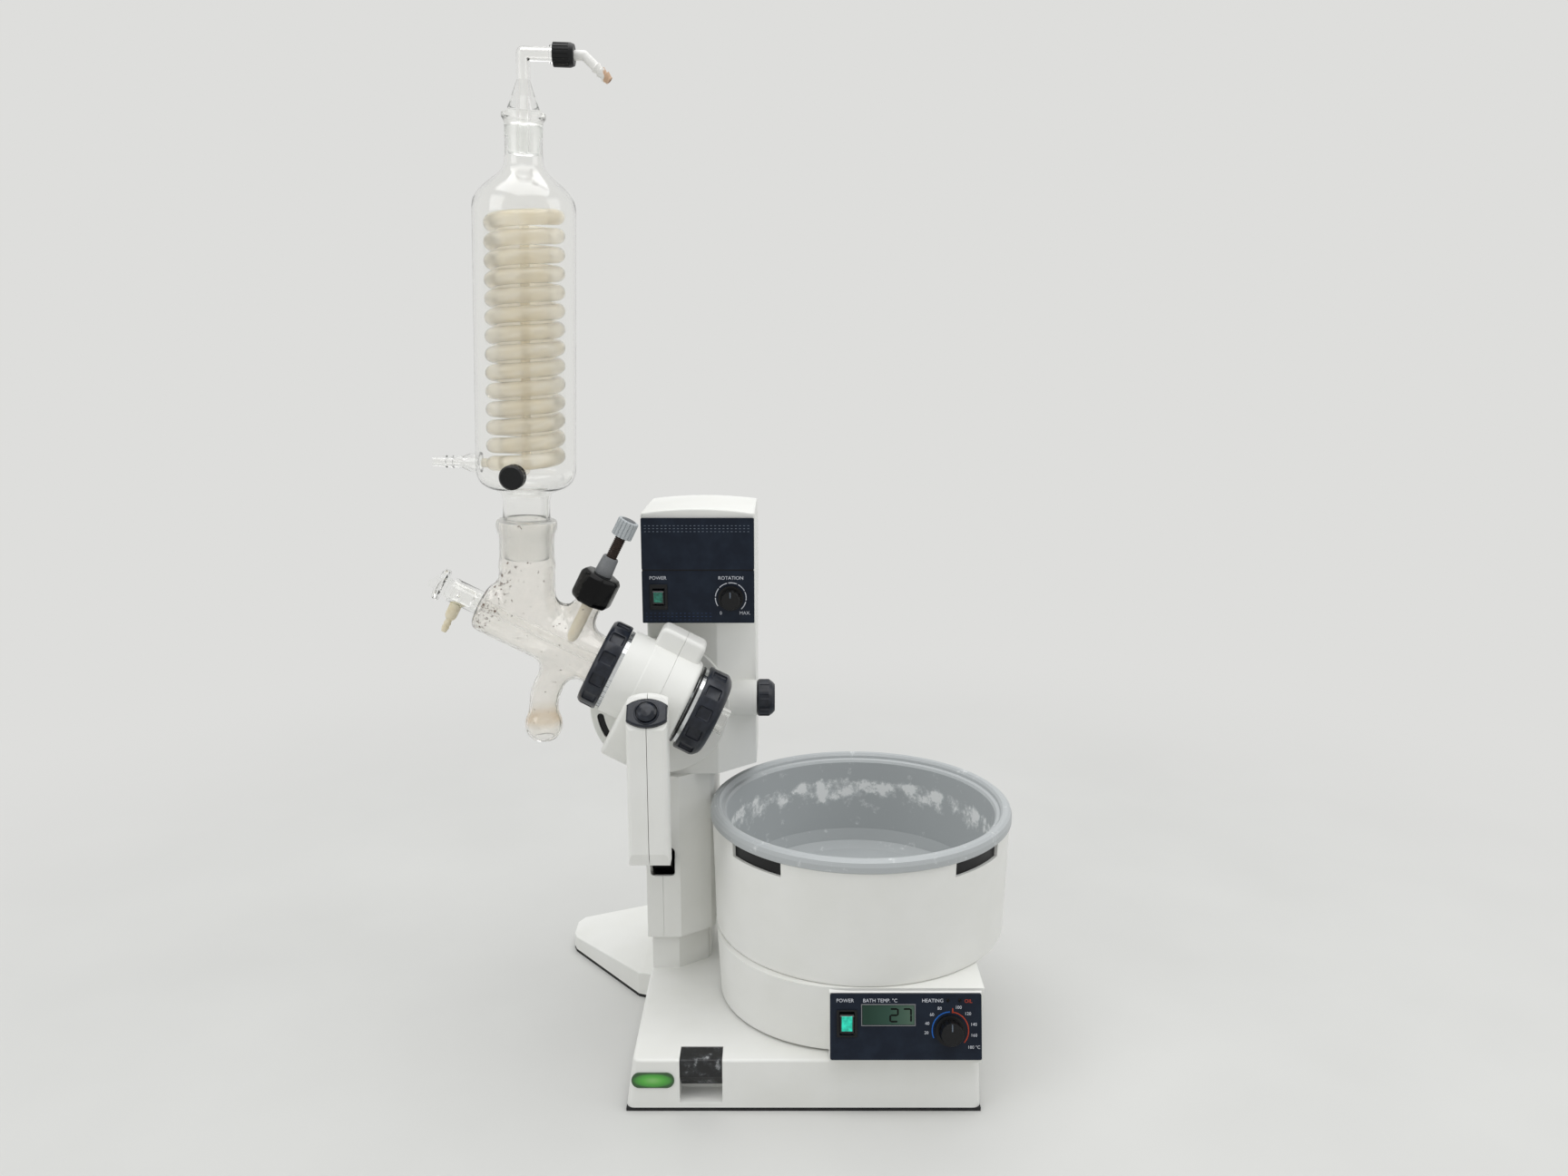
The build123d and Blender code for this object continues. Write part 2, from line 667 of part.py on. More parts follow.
# Column and gas spring
def column_skirt():
    ring = make_face(Polyline(*SKIRT, close=True)) - inset(SKIRT, SKIRT_WALL)
    low = Pos(0, 0, BASE_TOP) * extrude(ring, SKIRT_OPEN_H)
    high = Pos(0, 0, BASE_TOP) * extrude(ring, SKIRT_HEIGHT)
    front = LEVER_PIVOT_Y + CHEEK_HALF + 4.0
    return low + (high & block(-200, 200, front, 200, 0, 400))


def guide_profile():
    w, d, t = PROFILE_W, PROFILE_D, PROFILE_WALL
    face = RectangleRounded(w, d, PROFILE_ROUND) - RectangleRounded(w - 2 * t, d - 2 * t, PROFILE_ROUND - 3)
    face += Pos(0, d / 2 - t - 1.5) * Rectangle(PROFILE_KEY, 3.2)
    return Pos(PROFILE_X, PROFILE_Y, BASE_TOP) * extrude(face, PROFILE_TOP - BASE_TOP)


def gas_cylinder():
    outer = disc(STRUT_R, BASE_TOP, STRUT_TOP)
    bore = disc(STRUT_BORE, BASE_TOP + STRUT_FOOT, STRUT_TOP - STRUT_END)
    hole = disc(STRUT_ROD_R + RUN, STRUT_TOP - STRUT_END - 1, STRUT_TOP + 1)
    return STRUT * (outer - bore - hole)


def gas_rod():
    rod = disc(STRUT_ROD_R, STRUT_PISTON_Z, BRIDGE_Z)
    piston = disc(STRUT_BORE - RUN, STRUT_PISTON_Z, STRUT_PISTON_Z + STRUT_PISTON_H)
    return STRUT * (rod + piston)


# Lower tower cover in two halves, with the lever's bearing cheeks and slot
def lever_cheeks():
    z0, z1 = LEVER_PIVOT_Z - CHEEK_HALF, LEVER_PIVOT_Z + CHEEK_HALF
    y0, y1 = COVER_FRONT + COVER_WALL - 0.5, LEVER_PIVOT_Y + CHEEK_HALF
    inner = ARM_W / 2 + CHEEK_GAP
    left = block(LEVER_X - inner - CHEEK_T, LEVER_X - inner, y0, y1, z0, z1)
    right = block(LEVER_X + inner, LEVER_X + inner + CHEEK_T, y0, y1, z0, z1)
    bore = Pos(LEVER_X, LEVER_PIVOT_Y, LEVER_PIVOT_Z) * pin_x(AXLE_R + RUN, -ARM_W, ARM_W)
    return left - bore, right - bore


def lever_slot():
    z0, z1 = LEVER_PIVOT_Z - SLOT_DOWN, LEVER_PIVOT_Z + SLOT_UP
    y0, y1 = COVER_FRONT - 5, COVER_FRONT + SKIRT_IN_FRONT
    slot = block(LEVER_X - SLOT_SIDE, LEVER_X + SLOT_SIDE, y0, y1, z0, z1)
    slot = fillet(slot.edges().filter_by(Axis.Y), 4)
    x0 = COVER_LEFT - 2
    channel = [(x0, z1), (LEVER_X + 2, z1), (LEVER_X + 15, COVER_TOP + 1), (x0, COVER_TOP + 1)]
    return slot + slab_y(channel, COVER_FRONT - 2, COVER_FRONT + COVER_WALL / 2)


def cover_halves():
    ring = make_face(Polyline(*COVER, close=True)) - inset(COVER, COVER_WALL)
    solid = Pos(0, 0, COVER_BOTTOM) * extrude(ring, COVER_TOP - COVER_BOTTOM)
    lid = Pos(0, 0, COVER_TOP - COVER_WALL) * extrude(inset(COVER, COVER_WALL - 0.5), COVER_WALL)
    w, d = PROFILE_W / 2 + 6, PROFILE_D / 2 + 5
    lid -= Pos(PROFILE_X, PROFILE_Y, COVER_TOP) * Box(2 * w, 2 * d, 20)
    solid += lid
    for cheek in lever_cheeks():
        solid += cheek
    solid -= lever_slot()
    left = solid & block(-200, LEVER_X - SEAT / 2, -200, 200, 0, 400)
    right = solid & block(LEVER_X + SEAT / 2, 200, -200, 200, 0, 400)
    return left, right


def guide_bushes():
    shell = inset(COVER, COVER_WALL)
    shell = shell & Pos(PROFILE_X, PROFILE_Y) * Rectangle(4 * PROFILE_W, PROFILE_D + 2 * BUSH_MARGIN)
    w, d = PROFILE_W + 2 * GAP, PROFILE_D + 2 * GAP
    ring = extrude(shell - Pos(PROFILE_X, PROFILE_Y) * RectangleRounded(w, d, PROFILE_ROUND), BUSH_HEIGHT)
    low = Pos(0, 0, BASE_TOP + SKIRT_HEIGHT + LIFT_DOWN + 4) * ring
    high = Pos(0, 0, COVER_TOP - COVER_WALL - BUSH_HEIGHT) * ring
    return Compound(children=[low, high])


# Upper tower housing with the control head
def roof_slope(drop):
    y0, y1 = HEAD_FRONT + HEAD_DEPTH, COVER_BACK + 5
    top = TOWER_TOP + HEAD_ARCH + 0.5 - drop
    return slab_x([(y0, top), (y1, top - HEAD_BACK_DROP), (y1, top + 50), (y0, top + 50)], -200, 200)


def control_head():
    width = HEAD_RIGHT - HEAD_LEFT
    radius = (width * width / 4 + HEAD_ARCH * HEAD_ARCH) / (2 * HEAD_ARCH)
    head = block(HEAD_LEFT, HEAD_RIGHT, HEAD_FRONT, COVER_BACK, HEAD_BOTTOM, TOWER_TOP + HEAD_ARCH)
    middle = (HEAD_LEFT + HEAD_RIGHT) / 2
    head = head & Pos(middle, 0, TOWER_TOP + HEAD_ARCH - radius) * pin_y(radius, -200, 200)
    head = fillet(head.edges().filter_by(Axis.Z), 2.5)
    crown = [e for e in head.edges() if e.center().Z > TOWER_TOP - 3 and e.center().Y < HEAD_FRONT + 1]
    return fillet(crown, 2.0)


def upper_housing():
    body = prism(TOWER, COVER_TOP, TOWER_TOP)
    body = fillet(body.edges().filter_by(Axis.Z).sort_by(Axis.Y)[:3], 3.0)
    clamp = Pos(0, CLAMP_Y, CLAMP_Z)
    boss = clamp * pin_x(CLAMP_BOSS_R, TOWER_RIGHT - TOWER_CHAMFER_X + 3, CLAMP_BOSS_END)
    solid = body + control_head() + boss - roof_slope(0)
    room = inset(TOWER, TOWER_WALL)
    deck, ceiling = BRIDGE_Z + BRIDGE_H, TOWER_TOP - HEAD_ROOF
    cavity = Pos(0, 0, COVER_TOP - 1) * extrude(room, BRIDGE_Z - COVER_TOP + 1)
    upper = Pos(0, 0, deck) * extrude(room, ceiling - deck)
    x0, x1 = HEAD_LEFT + HEAD_SHELL, HEAD_RIGHT - HEAD_SHELL
    upper += block(x0, x1, HEAD_FRONT + HEAD_SHELL, TOWER_FRONT + 5, HEAD_BOTTOM + HEAD_SHELL, ceiling)
    solid = solid - cavity - (upper - roof_slope(HEAD_ROOF + HEAD_ARCH))
    half = PIVOT_BLOCK / 2
    z0, z1 = PIVOT_Z - half, PIVOT_Z + half
    solid += block(TOWER_LEFT + 1, PIVOT_X + half, TOWER_FRONT + 1, PIVOT_END, z0, z1)
    solid += clamp * pin_x(CLAMP_SCREW_R + 5, PIVOT_X + half - 1, TOWER_RIGHT - CLAMP_BOSS_R)
    bore = Pos(PIVOT_X, 0, PIVOT_Z) * pin_y(PIVOT_SHAFT_R + RUN, TOWER_FRONT - 5, PIVOT_END + 1)
    screw = clamp * pin_x(CLAMP_SCREW_R + RUN, PIVOT_X, CLAMP_BOSS_END + 1)
    return solid - bore - screw - panel_holes(HEAD_FRONT - 1, HEAD_FRONT + HEAD_SHELL + 1)


def panel_holes(y0, y1):
    hw = ROCKER_W / 2 + ROCKER_CLEAR
    hh = ROCKER_H / 2 + ROCKER_CLEAR
    hole = block(ROCKER_X - hw, ROCKER_X + hw, y0, y1, ROCKER_Z - hh, ROCKER_Z + hh)
    return hole + Pos(KNOB_X, 0, KNOB_Z) * pin_y(KNOB_STEM_R + RUN, y0, y1)


def panel_plate(z0, z1):
    x0, x1 = HEAD_LEFT + PANEL_MARGIN, HEAD_RIGHT - PANEL_MARGIN
    plate = block(x0, x1, HEAD_FRONT - PANEL_T, HEAD_FRONT, z0, z1)
    return fillet(plate.edges().filter_by(Axis.Y), 1.0)


def upper_panel():
    return panel_plate(UPPER_LOW, PANEL_TOP)


def control_panel():
    return panel_plate(HEAD_BOTTOM, CONTROL_TOP) - panel_holes(HEAD_FRONT - PANEL_T - 1, HEAD_FRONT + 1)


def rocker(width, height):
    radius = height / 2
    front = Rot(ROCKER_TILT, 0, 0) * Pos(0, -radius * ROCKER_FLAT - 20, 0) * Box(width + 2, 40, 60)
    return pin_x(radius, -width / 2, width / 2) - front


def power_switch():
    return Pos(ROCKER_X, HEAD_FRONT - PANEL_T + ROCKER_DEPTH, ROCKER_Z) * rocker(ROCKER_W, ROCKER_H)


def knob(radius, length, stem_len, flutes):
    waist, crown = 0.8 * radius, 0.7 * radius
    grip = turned([(0, 2), (waist, 2), (crown + 0.5, length - 1), (crown, length), (0, length)])
    groove = Pos(waist, 0, 0) * disc(0.09 * radius, KNOB_SKIRT + 1, length + 2)
    grip = around(grip, groove, flutes)
    mark = Pos(0, 0.45 * radius, length) * Box(1.2, 0.5 * radius, 0.8)
    return disc(radius, 0, KNOB_SKIRT) + grip - mark + disc(KNOB_STEM_R, -stem_len, 0.5)


def speed_knob():
    place = Pos(KNOB_X, HEAD_FRONT - PANEL_T - GAP, KNOB_Z) * Rot(90, 0, 0)
    return place * knob(KNOB_R, KNOB_LEN, KNOB_STEM_LEN, 12)


def control_board():
    y = HEAD_FRONT + 15.0
    x0, x1 = HEAD_LEFT + HEAD_SHELL + 3.5, HEAD_RIGHT - HEAD_SHELL - 3.5
    low = HEAD_BOTTOM + HEAD_SHELL + SEAT
    board = block(x0, x1, y - BOARD_T, y, low, low + 62)
    board += Pos(KNOB_X, 0, KNOB_Z) * pin_y(8.0, y - BOARD_T - 2, y - BOARD_T)
    for i in range(4):
        x = x0 + 14 * (i + 1)
        board += block(x, x + 8, y, y + 8, low + 42, low + 54)
    return board


def power_supply():
    z = BRIDGE_Z + BRIDGE_H
    core = block(TOWER_RIGHT - 49, TOWER_RIGHT - 7, COVER_BACK - 56, COVER_BACK - 14, z, z + 52)
    core = fillet(core.edges().filter_by(Axis.Z), 3.0)
    winding = block(TOWER_RIGHT - 55, TOWER_RIGHT - 49, COVER_BACK - 50, COVER_BACK - 20, z + 8, z + 44)
    return core + winding


# Tilt clamp
def clamp_knob():
    r, n = CLAMP_KNOB_R, CLAMP_KNOB_LEN
    points = [(CLAMP_SCREW_R, 0), (r - 1.5, 0), (r, 1.5), (r, n - 5.8), (r - 2.5, n - 2.3), (r - 5, n)]
    solid = turned(points + [(CLAMP_SCREW_R, n)])
    dent = Pos(r + 3, 0, 7) * Box(8, 5.2, 9)
    solid = around(solid, fillet(dent.edges().filter_by(Axis.Z), 1.5), CLAMP_GRIPS)
    return Pos(CLAMP_BOSS_END + GAP, CLAMP_Y, CLAMP_Z) * ALONG * solid


def clamp_screw():
    tip = PIVOT_X + PIVOT_SHAFT_R + CLAMP_BACKOFF
    end = CLAMP_BOSS_END + GAP + CLAMP_KNOB_LEN - 1.5
    return Pos(0, CLAMP_Y, CLAMP_Z) * pin_x(CLAMP_SCREW_R, tip, end)


# Hand lever
def lever_side():
    front, back = LEVER_Y - LEVER_T / 2, LEVER_Y + LEVER_T / 2
    low, top = LEVER_BOTTOM, LEVER_TOP
    points = [(front, low + 12), (front + 5, low), (back, low), (back, top - 6), (back - 6, top)]
    return points + [(front + 15, top - 3), (front, LEVER_CAP_LOW)]


def cap_place():
    front = LEVER_Y - LEVER_T / 2
    return Pos(LEVER_X, front + 8, (LEVER_CAP_LOW + LEVER_TOP - 3) / 2) * Rot(CAP_SLOPE, 0, 0)


def cap_plan(width, grow):
    shift = CAP_ARC - CAP_H / 2
    arcs = Pos(0, shift) * Circle(CAP_ARC + grow) & Pos(0, -shift) * Circle(CAP_ARC + grow)
    return arcs & Rectangle(width, 2 * CAP_ARC)


def lever_grip():
    solid = slab_x(lever_side(), LEVER_X - LEVER_W / 2, LEVER_X + LEVER_W / 2)
    upright = [e for e in solid.edges() if e.length > LEVER_LEN / 2 and abs(e.tangent_at(0.5).Z) > 0.9]
    solid = fillet(upright, 4.5)
    crown = Pos(LEVER_X, 0, LEVER_TOP - LEVER_CROWN) * pin_y(LEVER_CROWN, -400, 0)
    below = Pos(LEVER_X, -200, LEVER_TOP - LEVER_CROWN - 200) * Box(400, 400, 400)
    solid = solid & (crown + below)
    seat = cap_place() * Pos(0, 0, -CAP_SEAT) * extrude(cap_plan(LEVER_W + 4, 0), 20)
    well = cap_place() * disc(BUTTON_R - 1.5, -14, 1)
    solid = solid - seat - well - arm_bar()
    half = LEVER_SEAM / 2
    left = solid & block(LEVER_X - 60, LEVER_X - half, -400, 0, 0, 500)
    right = solid & block(LEVER_X + half, LEVER_X + 60, -400, 0, 0, 500)
    return Compound(children=[left.solid(), right.solid()])


def lever_cap():
    plate = extrude(cap_plan(CAP_W, -SEAT), CAP_T)
    plate = fillet(plate.faces().sort_by(Axis.Z)[-1].edges(), 1.6)
    plate = Pos(0, 0, -CAP_SEAT) * plate
    plate -= disc(BUTTON_R + GAP, -1, 6)
    return cap_place() * (plate - disc(BUTTON_STEM_R + GAP, -6, 6))


def thumb_button():
    r = BUTTON_R
    dome = turned([(0, -0.5), (r, -0.5), (r, 2.2), (r - 1.6, 3.5), (0.5 * r, 4.1), (0, 4.3)])
    stem = disc(BUTTON_STEM_R, -9, BUTTON_TRAVEL)
    return cap_place() * (Pos(0, 0, BUTTON_TRAVEL + SEAT) * dome + stem)


def arm_bar():
    y0, z0 = LEVER_Y + 1, LEVER_BOTTOM + ARM_RISE
    y1, z1 = LEVER_PIVOT_Y, LEVER_PIVOT_Z
    angle = math.degrees(math.atan2(z1 - z0, y1 - y0))
    bar = Box(ARM_W, math.hypot(y1 - y0, z1 - z0), ARM_H)
    return Pos(LEVER_X, (y0 + y1) / 2, (z0 + z1) / 2) * Rot(angle, 0, 0) * bar


def lever_arm():
    reach = ARM_W / 2 + CHEEK_GAP + CHEEK_T / 2
    pivot = Pos(LEVER_X, LEVER_PIVOT_Y, LEVER_PIVOT_Z)
    return arm_bar() + pivot * (pin_x(HUB_R, -ARM_W / 2, ARM_W / 2) + pin_x(AXLE_R, -reach, reach))


# Drive head
def body_solid(grow, s0, s1):
    face = Pos(0, -BODY_DROP / 2) * SlotCenterToCenter(BODY_DROP, 2 * (BODY_R - grow), rotation=90)
    return Plane.YZ.offset(s0) * extrude(face, s1 - s0)


def drive_shell():
    s0, s1 = -BODY_LEFT, BODY_RIGHT
    body = body_solid(0, s0, s1)
    rim = [e for e in body.edges() if abs(abs(e.center().X - (s0 + s1) / 2) - (s1 - s0) / 2) < 0.01]
    body = fillet(rim, BODY_EDGE)
    hump = block(s0 + 0.5, s1 - 5, -HUMP_FRONT, HUMP_BACK, BODY_R / 2, BODY_R + HUMP_RISE)
    hump = fillet(hump.edges().filter_by(Axis.Y).sort_by(Axis.Z)[-2:], 6.0)
    hump = fillet(hump.faces().sort_by(Axis.Y)[0].edges().sort_by(Axis.Z)[-3:], 4.0)
    solid = body + hump + ALONG * disc(COLLAR_R, COLLAR_S0, s0 + 6)
    solid -= body_solid(BODY_WALL, s0 + BODY_WALL, s1 - BODY_WALL)
    solid -= ALONG * disc(BEARING_R, COLLAR_S0 + 4, s0 + 4)
    web = body_solid(BODY_WALL - 0.5, WEB_S0, WEB_S1)
    web = web & block(0, 2 * WEB_S1, -100, 100, -BEARING_R - 4, 100)
    web -= ALONG * disc(BEARING_R, WEB_S0 - 1, WEB_S1 + 1)
    return solid + web - ALONG * disc(SHAFT_R + 1, COLLAR_S0 - 5, s1 + 5)


def drive_halves():
    solid = drive_shell()
    left = solid & block(-200, BODY_SEAM - SEAT / 2, -100, 100, -200, 200)
    right = solid & block(BODY_SEAM + SEAT / 2, 200, -100, 100, -200, 200)
    return HEAD * left, HEAD * right


def tilt_flange():
    plate = disc(FLANGE_R, 0, FLANGE_T)
    plate = fillet(plate.edges().filter_by(GeomType.CIRCLE), 1.2)
    groove = SlotArc(CenterArc((0, 0), FLANGE_R - 9, 190, 18), FLANGE_SLOT_W)
    plate -= Pos(0, 0, FLANGE_T - FLANGE_SLOT_DEPTH) * extrude(groove, FLANGE_T)
    shaft = disc(PIVOT_SHAFT_R, FLANGE_BACK - PIVOT_END + 1, 0.5)
    spigot = disc(PIVOT_SHAFT_R + 4, FLANGE_T - 0.5, FLANGE_T + BODY_GAP - SEAT)
    return Pos(PIVOT_X, FLANGE_BACK - SEAT, PIVOT_Z) * Rot(90, 0, 0) * (plate + shaft + spigot)


def drive_motor():
    can = disc(MOTOR_R, BODY_WALL - BODY_LEFT, MOTOR_END)
    can += disc(3 * MOTOR_SHAFT_R, MOTOR_END, MOTOR_END + 2)
    can -= disc(MOTOR_SHAFT_R + RUN, MOTOR_END - 6, MOTOR_END + 4)
    return HEAD * Pos(0, 0, -MOTOR_DROP) * ALONG * can


def motor_pulley():
    wheel = disc(MOTOR_PULLEY_R, PULLEY_S0, PULLEY_S0 + PULLEY_W)
    shaft = disc(MOTOR_SHAFT_R, MOTOR_END - 5, PULLEY_S0 + PULLEY_W)
    return HEAD * Pos(0, 0, -MOTOR_DROP) * ALONG * (wheel + shaft)


def belt_plan(big, small):
    a = math.asin((big - small) / MOTOR_DROP)
    c, s = math.cos(a), math.sin(a)
    low = -MOTOR_DROP - small * s
    quad = [(big * c, -big * s), (small * c, low), (-small * c, low), (-big * c, -big * s)]
    face = make_face(Polyline(*quad, close=True))
    return face + Circle(big) + Pos(0, -MOTOR_DROP) * Circle(small)


def drive_belt():
    big = PULLEY_R + BELT_SLACK
    small = MOTOR_PULLEY_R + BELT_SLACK
    ring = belt_plan(big + BELT_T, small + BELT_T) - belt_plan(big, small)
    belt = Plane.YZ.offset(PULLEY_S0 + 0.5) * extrude(ring, PULLEY_W - 1)
    return HEAD * belt


def shaft_bearings():
    first = tube(BEARING_R, SHAFT_R + RUN, COLLAR_S0 + 4 + SEAT, COLLAR_S0 + 14)
    second = tube(BEARING_R, SHAFT_R + RUN, WEB_S0 + SEAT, WEB_S1)
    race = tube(BEARING_R - 3.2, SHAFT_R + 3.2, COLLAR_S0 + 4, COLLAR_S0 + 5.4)
    return on_axis(Compound(children=[first - race, second]))


def thread_ring():
    r = NUT_RING_R + 2
    ring = tube(r, SHAFT_R + 12, COLLAR_S0 - RING_T, COLLAR_S0)
    notch = Pos(r + 0.4, 0, COLLAR_S0 - RING_T / 2) * Box(1.6, 1.4, 5)
    return on_axis(around(ring, notch, RING_NOTCHES))


def shaft_seal():
    return on_axis(tube(TUBE_R + TUBE_FLANGE - SEAT, SHAFT_R + 1.5, TUBE_LIP, COLLAR_S0))


def grip_dent(radius, mid, length):
    dent = Pos(radius + 1.2, 0, mid) * Box(6, 12, length)
    return fillet(dent.edges().filter_by(Axis.X), 2.5)


def condenser_nut():
    s0, s1, step = NUT_S0, NUT_S1, NUT_S0 + NUT_STEP
    bore = TUBE_R + 1.2
    points = [(bore, s0), (NUT_R0 - 1.5, s0), (NUT_R0, s0 + 1.5), (NUT_R1 - 1, s0 + 9), (NUT_R1, s0 + 11)]
    points += [(NUT_R1, s1 - 1), (NUT_R1 - 1, s1), (NUT_RING_R, s1), (NUT_RING_R, step), (bore, step)]
    return on_axis(around(turned(points), grip_dent(NUT_R1, s1 - 8.5, 9.5), NUT_GRIPS))


def hollow_shaft():
    barrel = tube(SHAFT_R, SHAFT_BORE, COLLAR_S0 + 1, FLASK_S0 + 6)
    wheel = tube(PULLEY_R, SHAFT_R - 1, PULLEY_S0, PULLEY_S0 + PULLEY_W)
    tooth = Pos(PULLEY_R, 0, 0) * disc(1.0, PULLEY_S0 - 1, PULLEY_S0 + PULLEY_W + 1)
    return on_axis(barrel + around(wheel, tooth, PULLEY_TEETH))


def nut_ring():
    return on_axis(tube(FLASK_R0 - 3.5, SHAFT_R, BODY_RIGHT + 1.6, FLASK_S0))


def flask_nut():
    s0, s1, step = FLASK_S0, FLASK_S1, FLASK_S0 + FLASK_STEP
    bore = DUCT_R + 3
    r0, r1 = FLASK_R0, FLASK_R1
    points = [(SHAFT_R, s0), (r0 - 1, s0), (r0, s0 + 1), (r0, s0 + 12), (r0 - 1, s0 + 14)]
    points += [(r1 + 1.5, s1 - 1.5), (r1, s1), (bore, s1), (bore, step), (SHAFT_R, step)]
    return on_axis(around(turned(points), grip_dent(r0, s0 + 8.5, 11), NUT_GRIPS))


def vapour_duct():
    s0, s1 = COLLAR_S0 - 1, FLASK_S0 + 6
    r, wide = DUCT_R, DUCT_R + DUCT_COLLAR
    points = [(0, s0), (r, s0), (r, s1), (wide, s1), (wide, s1 + 8), (r, s1 + 10)]
    solid = turned(points + [(r, DUCT_END), (0, DUCT_END)])
    return on_axis(solid - disc(DUCT_BORE, s0 - 1, DUCT_END + 1))


# Glass manifold
def outlet_sweep(radius):
    start = HEAD * Pos(BRANCH_S, 0, 8 - TUBE_R)
    first = start.position
    last = Vector(KNEE.X, HY, KNEE.Z - BALL_DROP + 6)
    down = (HEAD * Pos(BRANCH_S, 0, -TUBE_R)).position - first
    path = Spline(first, last, tangents=[down.normalized(), Vector(0, 0, -1)])
    return sweep(Plane(origin=first, z_dir=down.normalized()) * Circle(radius), path=path)


def manifold_form(grow, top):
    r = NECK_R - grow
    main = on_axis(disc(TUBE_R - grow, TUBE_END + grow, TUBE_LIP))
    cap = HEAD * Pos(TUBE_END + grow + 6, 0, 0) * Sphere(TUBE_R - grow)
    cap = cap & HEAD * block(TUBE_END - 8 + grow, NECK_S, -60, 60, -60, 60)
    neck = turned([(0, -4), (r + 2, -4), (r + 0.2, 30), (r - 0.4, CONE_LOW - 4), (r - 0.4, top), (0, top)])
    branch = HEAD * Pos(BRANCH_S, 0, 0) * disc(BRANCH_R - grow, 0, BRANCH_TOP + grow)
    ball = BALL * Sphere(BALL_R - grow)
    return main + cap + LEAN * neck + branch + outlet_sweep(OUTLET_R - grow) + ball


def glass_manifold():
    z = SOCKET_TOP
    outer = manifold_form(0, z - 8)
    r = SOCKET_R
    rim = [(NECK_R - 2, z - 10), (NECK_R, z - 10), (r, z - 7), (r, z - 2), (r - 1.5, z), (NECK_R - 2, z)]
    outer += LEAN * turned(rim)
    outer += on_axis(disc(TUBE_R + TUBE_FLANGE, TUBE_LIP - 5, TUBE_LIP))
    outer += on_axis(disc(STOPCOCK_R, STOPCOCK_END, TUBE_END))
    side = HEAD * Pos(STOPCOCK_END + SPOUT_S, 0, 0)
    drop = SPOUT_DROP
    spout = [(0, -8), (5.2, -8), (5, 16 - drop), (2.6, 12 - drop), (3.2, 0.5 - drop), (2.4, -drop)]
    outer += side * turned(spout + [(0, -drop)])
    inner = manifold_form(GLASS, CONE_LOW - 2)
    low = CONE_LOW - 3
    inner += LEAN * turned([(0, low), (cone_r(low) + SEAT, low), (cone_r(z + 2) + SEAT, z + 2), (0, z + 2)])
    inner += BALL * disc(BALL_BORE, -2 * BALL_R, 0)
    inner += on_axis(disc(TUBE_R - GLASS, NUT_S0, TUBE_LIP + 1))
    inner += on_axis(disc(STOPCOCK_R - STOPCOCK_WALL, STOPCOCK_END - 1, TUBE_END - 14))
    inner += on_axis(disc(FEED_R + SEAT, TUBE_END - 20, TUBE_END + 12))
    inner += side * disc(1.4, -drop - 1, 0)
    return outer - inner


def feed_tube():
    return on_axis(tube(FEED_R, FEED_R - FEED_WALL, TUBE_END - 13, FLASK_S1 - 4))


def stopcock_plug():
    r = PLUG_FLANGE_R
    body = disc(STOPCOCK_R - STOPCOCK_WALL - RUN, STOPCOCK_END - 1, TUBE_END - 15)
    head = [(0, -12.5), (r - 1, -12.5), (r, -11.5), (r, -7.5), (9, -6.5), (8.2, -0.9), (0, -0.9)]
    wing = Pos(0, 0, -15.5) * Box(5, 26, 6)
    solid = body + Pos(0, 0, STOPCOCK_END) * (turned(head) + wing)
    return on_axis(solid - Pos(0, 0, STOPCOCK_END + SPOUT_S) * pin_y(1.6, -30, 30))


# Stem valve on the branch
def on_branch(shape):
    return HEAD * Pos(BRANCH_S, 0, 0) * shape


def valve_nut():
    low, top, r = VALVE_BASE, VALVE_TOP, VALVE_NUT_R
    bore = BRANCH_R + SEAT
    points = [(bore, low), (r - 2.5, low), (r - 1, low + 3), (r - 1, low + 9), (r, low + 12)]
    points += [(r, top - 2.5), (r - 1.6, top), (VALVE_COLLAR_R, top)]
    points += [(VALVE_COLLAR_R, low + 14), (bore, low + 12)]
    flute = Pos(r + 1.2, 0, 0) * disc(2.0, low + 11, top + 10)
    return on_branch(around(turned(points), flute, VALVE_FLUTES, 15.0))


def valve_collar():
    solid = disc(VALVE_COLLAR_R, VALVE_TOP - 18, VALVE_TOP + 13)
    solid += disc(VALVE_COLLAR_R + 1.2, VALVE_TOP, VALVE_TOP + 4)
    solid += disc(BRANCH_R - GLASS - SEAT, BRANCH_TOP - 22, VALVE_TOP - 17)
    return on_branch(solid - disc(SPINDLE_R + RUN, 0, VALVE_TOP + 20))


def valve_spindle():
    rod = disc(SPINDLE_R, BRANCH_TOP - 30, VALVE_TOP + 38)
    for i in range(SPINDLE_GROOVES):
        z = VALVE_TOP + 15 + 3.2 * i
        rod -= tube(SPINDLE_R + 1, SPINDLE_R - 0.8, z, z + 1.4)
    return on_branch(rod + disc(SPINDLE_R - 1, FEED_R + 2, BRANCH_TOP - 30))


def valve_knob():
    r, h = VALVE_KNOB_R, VALVE_KNOB_H
    solid = turned([(0, 1), (r, 1), (r, h - 1.5), (r - 1.5, h), (0, h)])
    solid = around(solid, Pos(r, 0, h - 5) * Box(1.6, 2.4, 18), VALVE_FLUTES)
    return on_branch(Pos(0, 0, VALVE_TOP + 37) * solid)


# Condenser
def cone_r(z):
    return CONE_R + (z - CONE_LOW) * CONE_TAPER


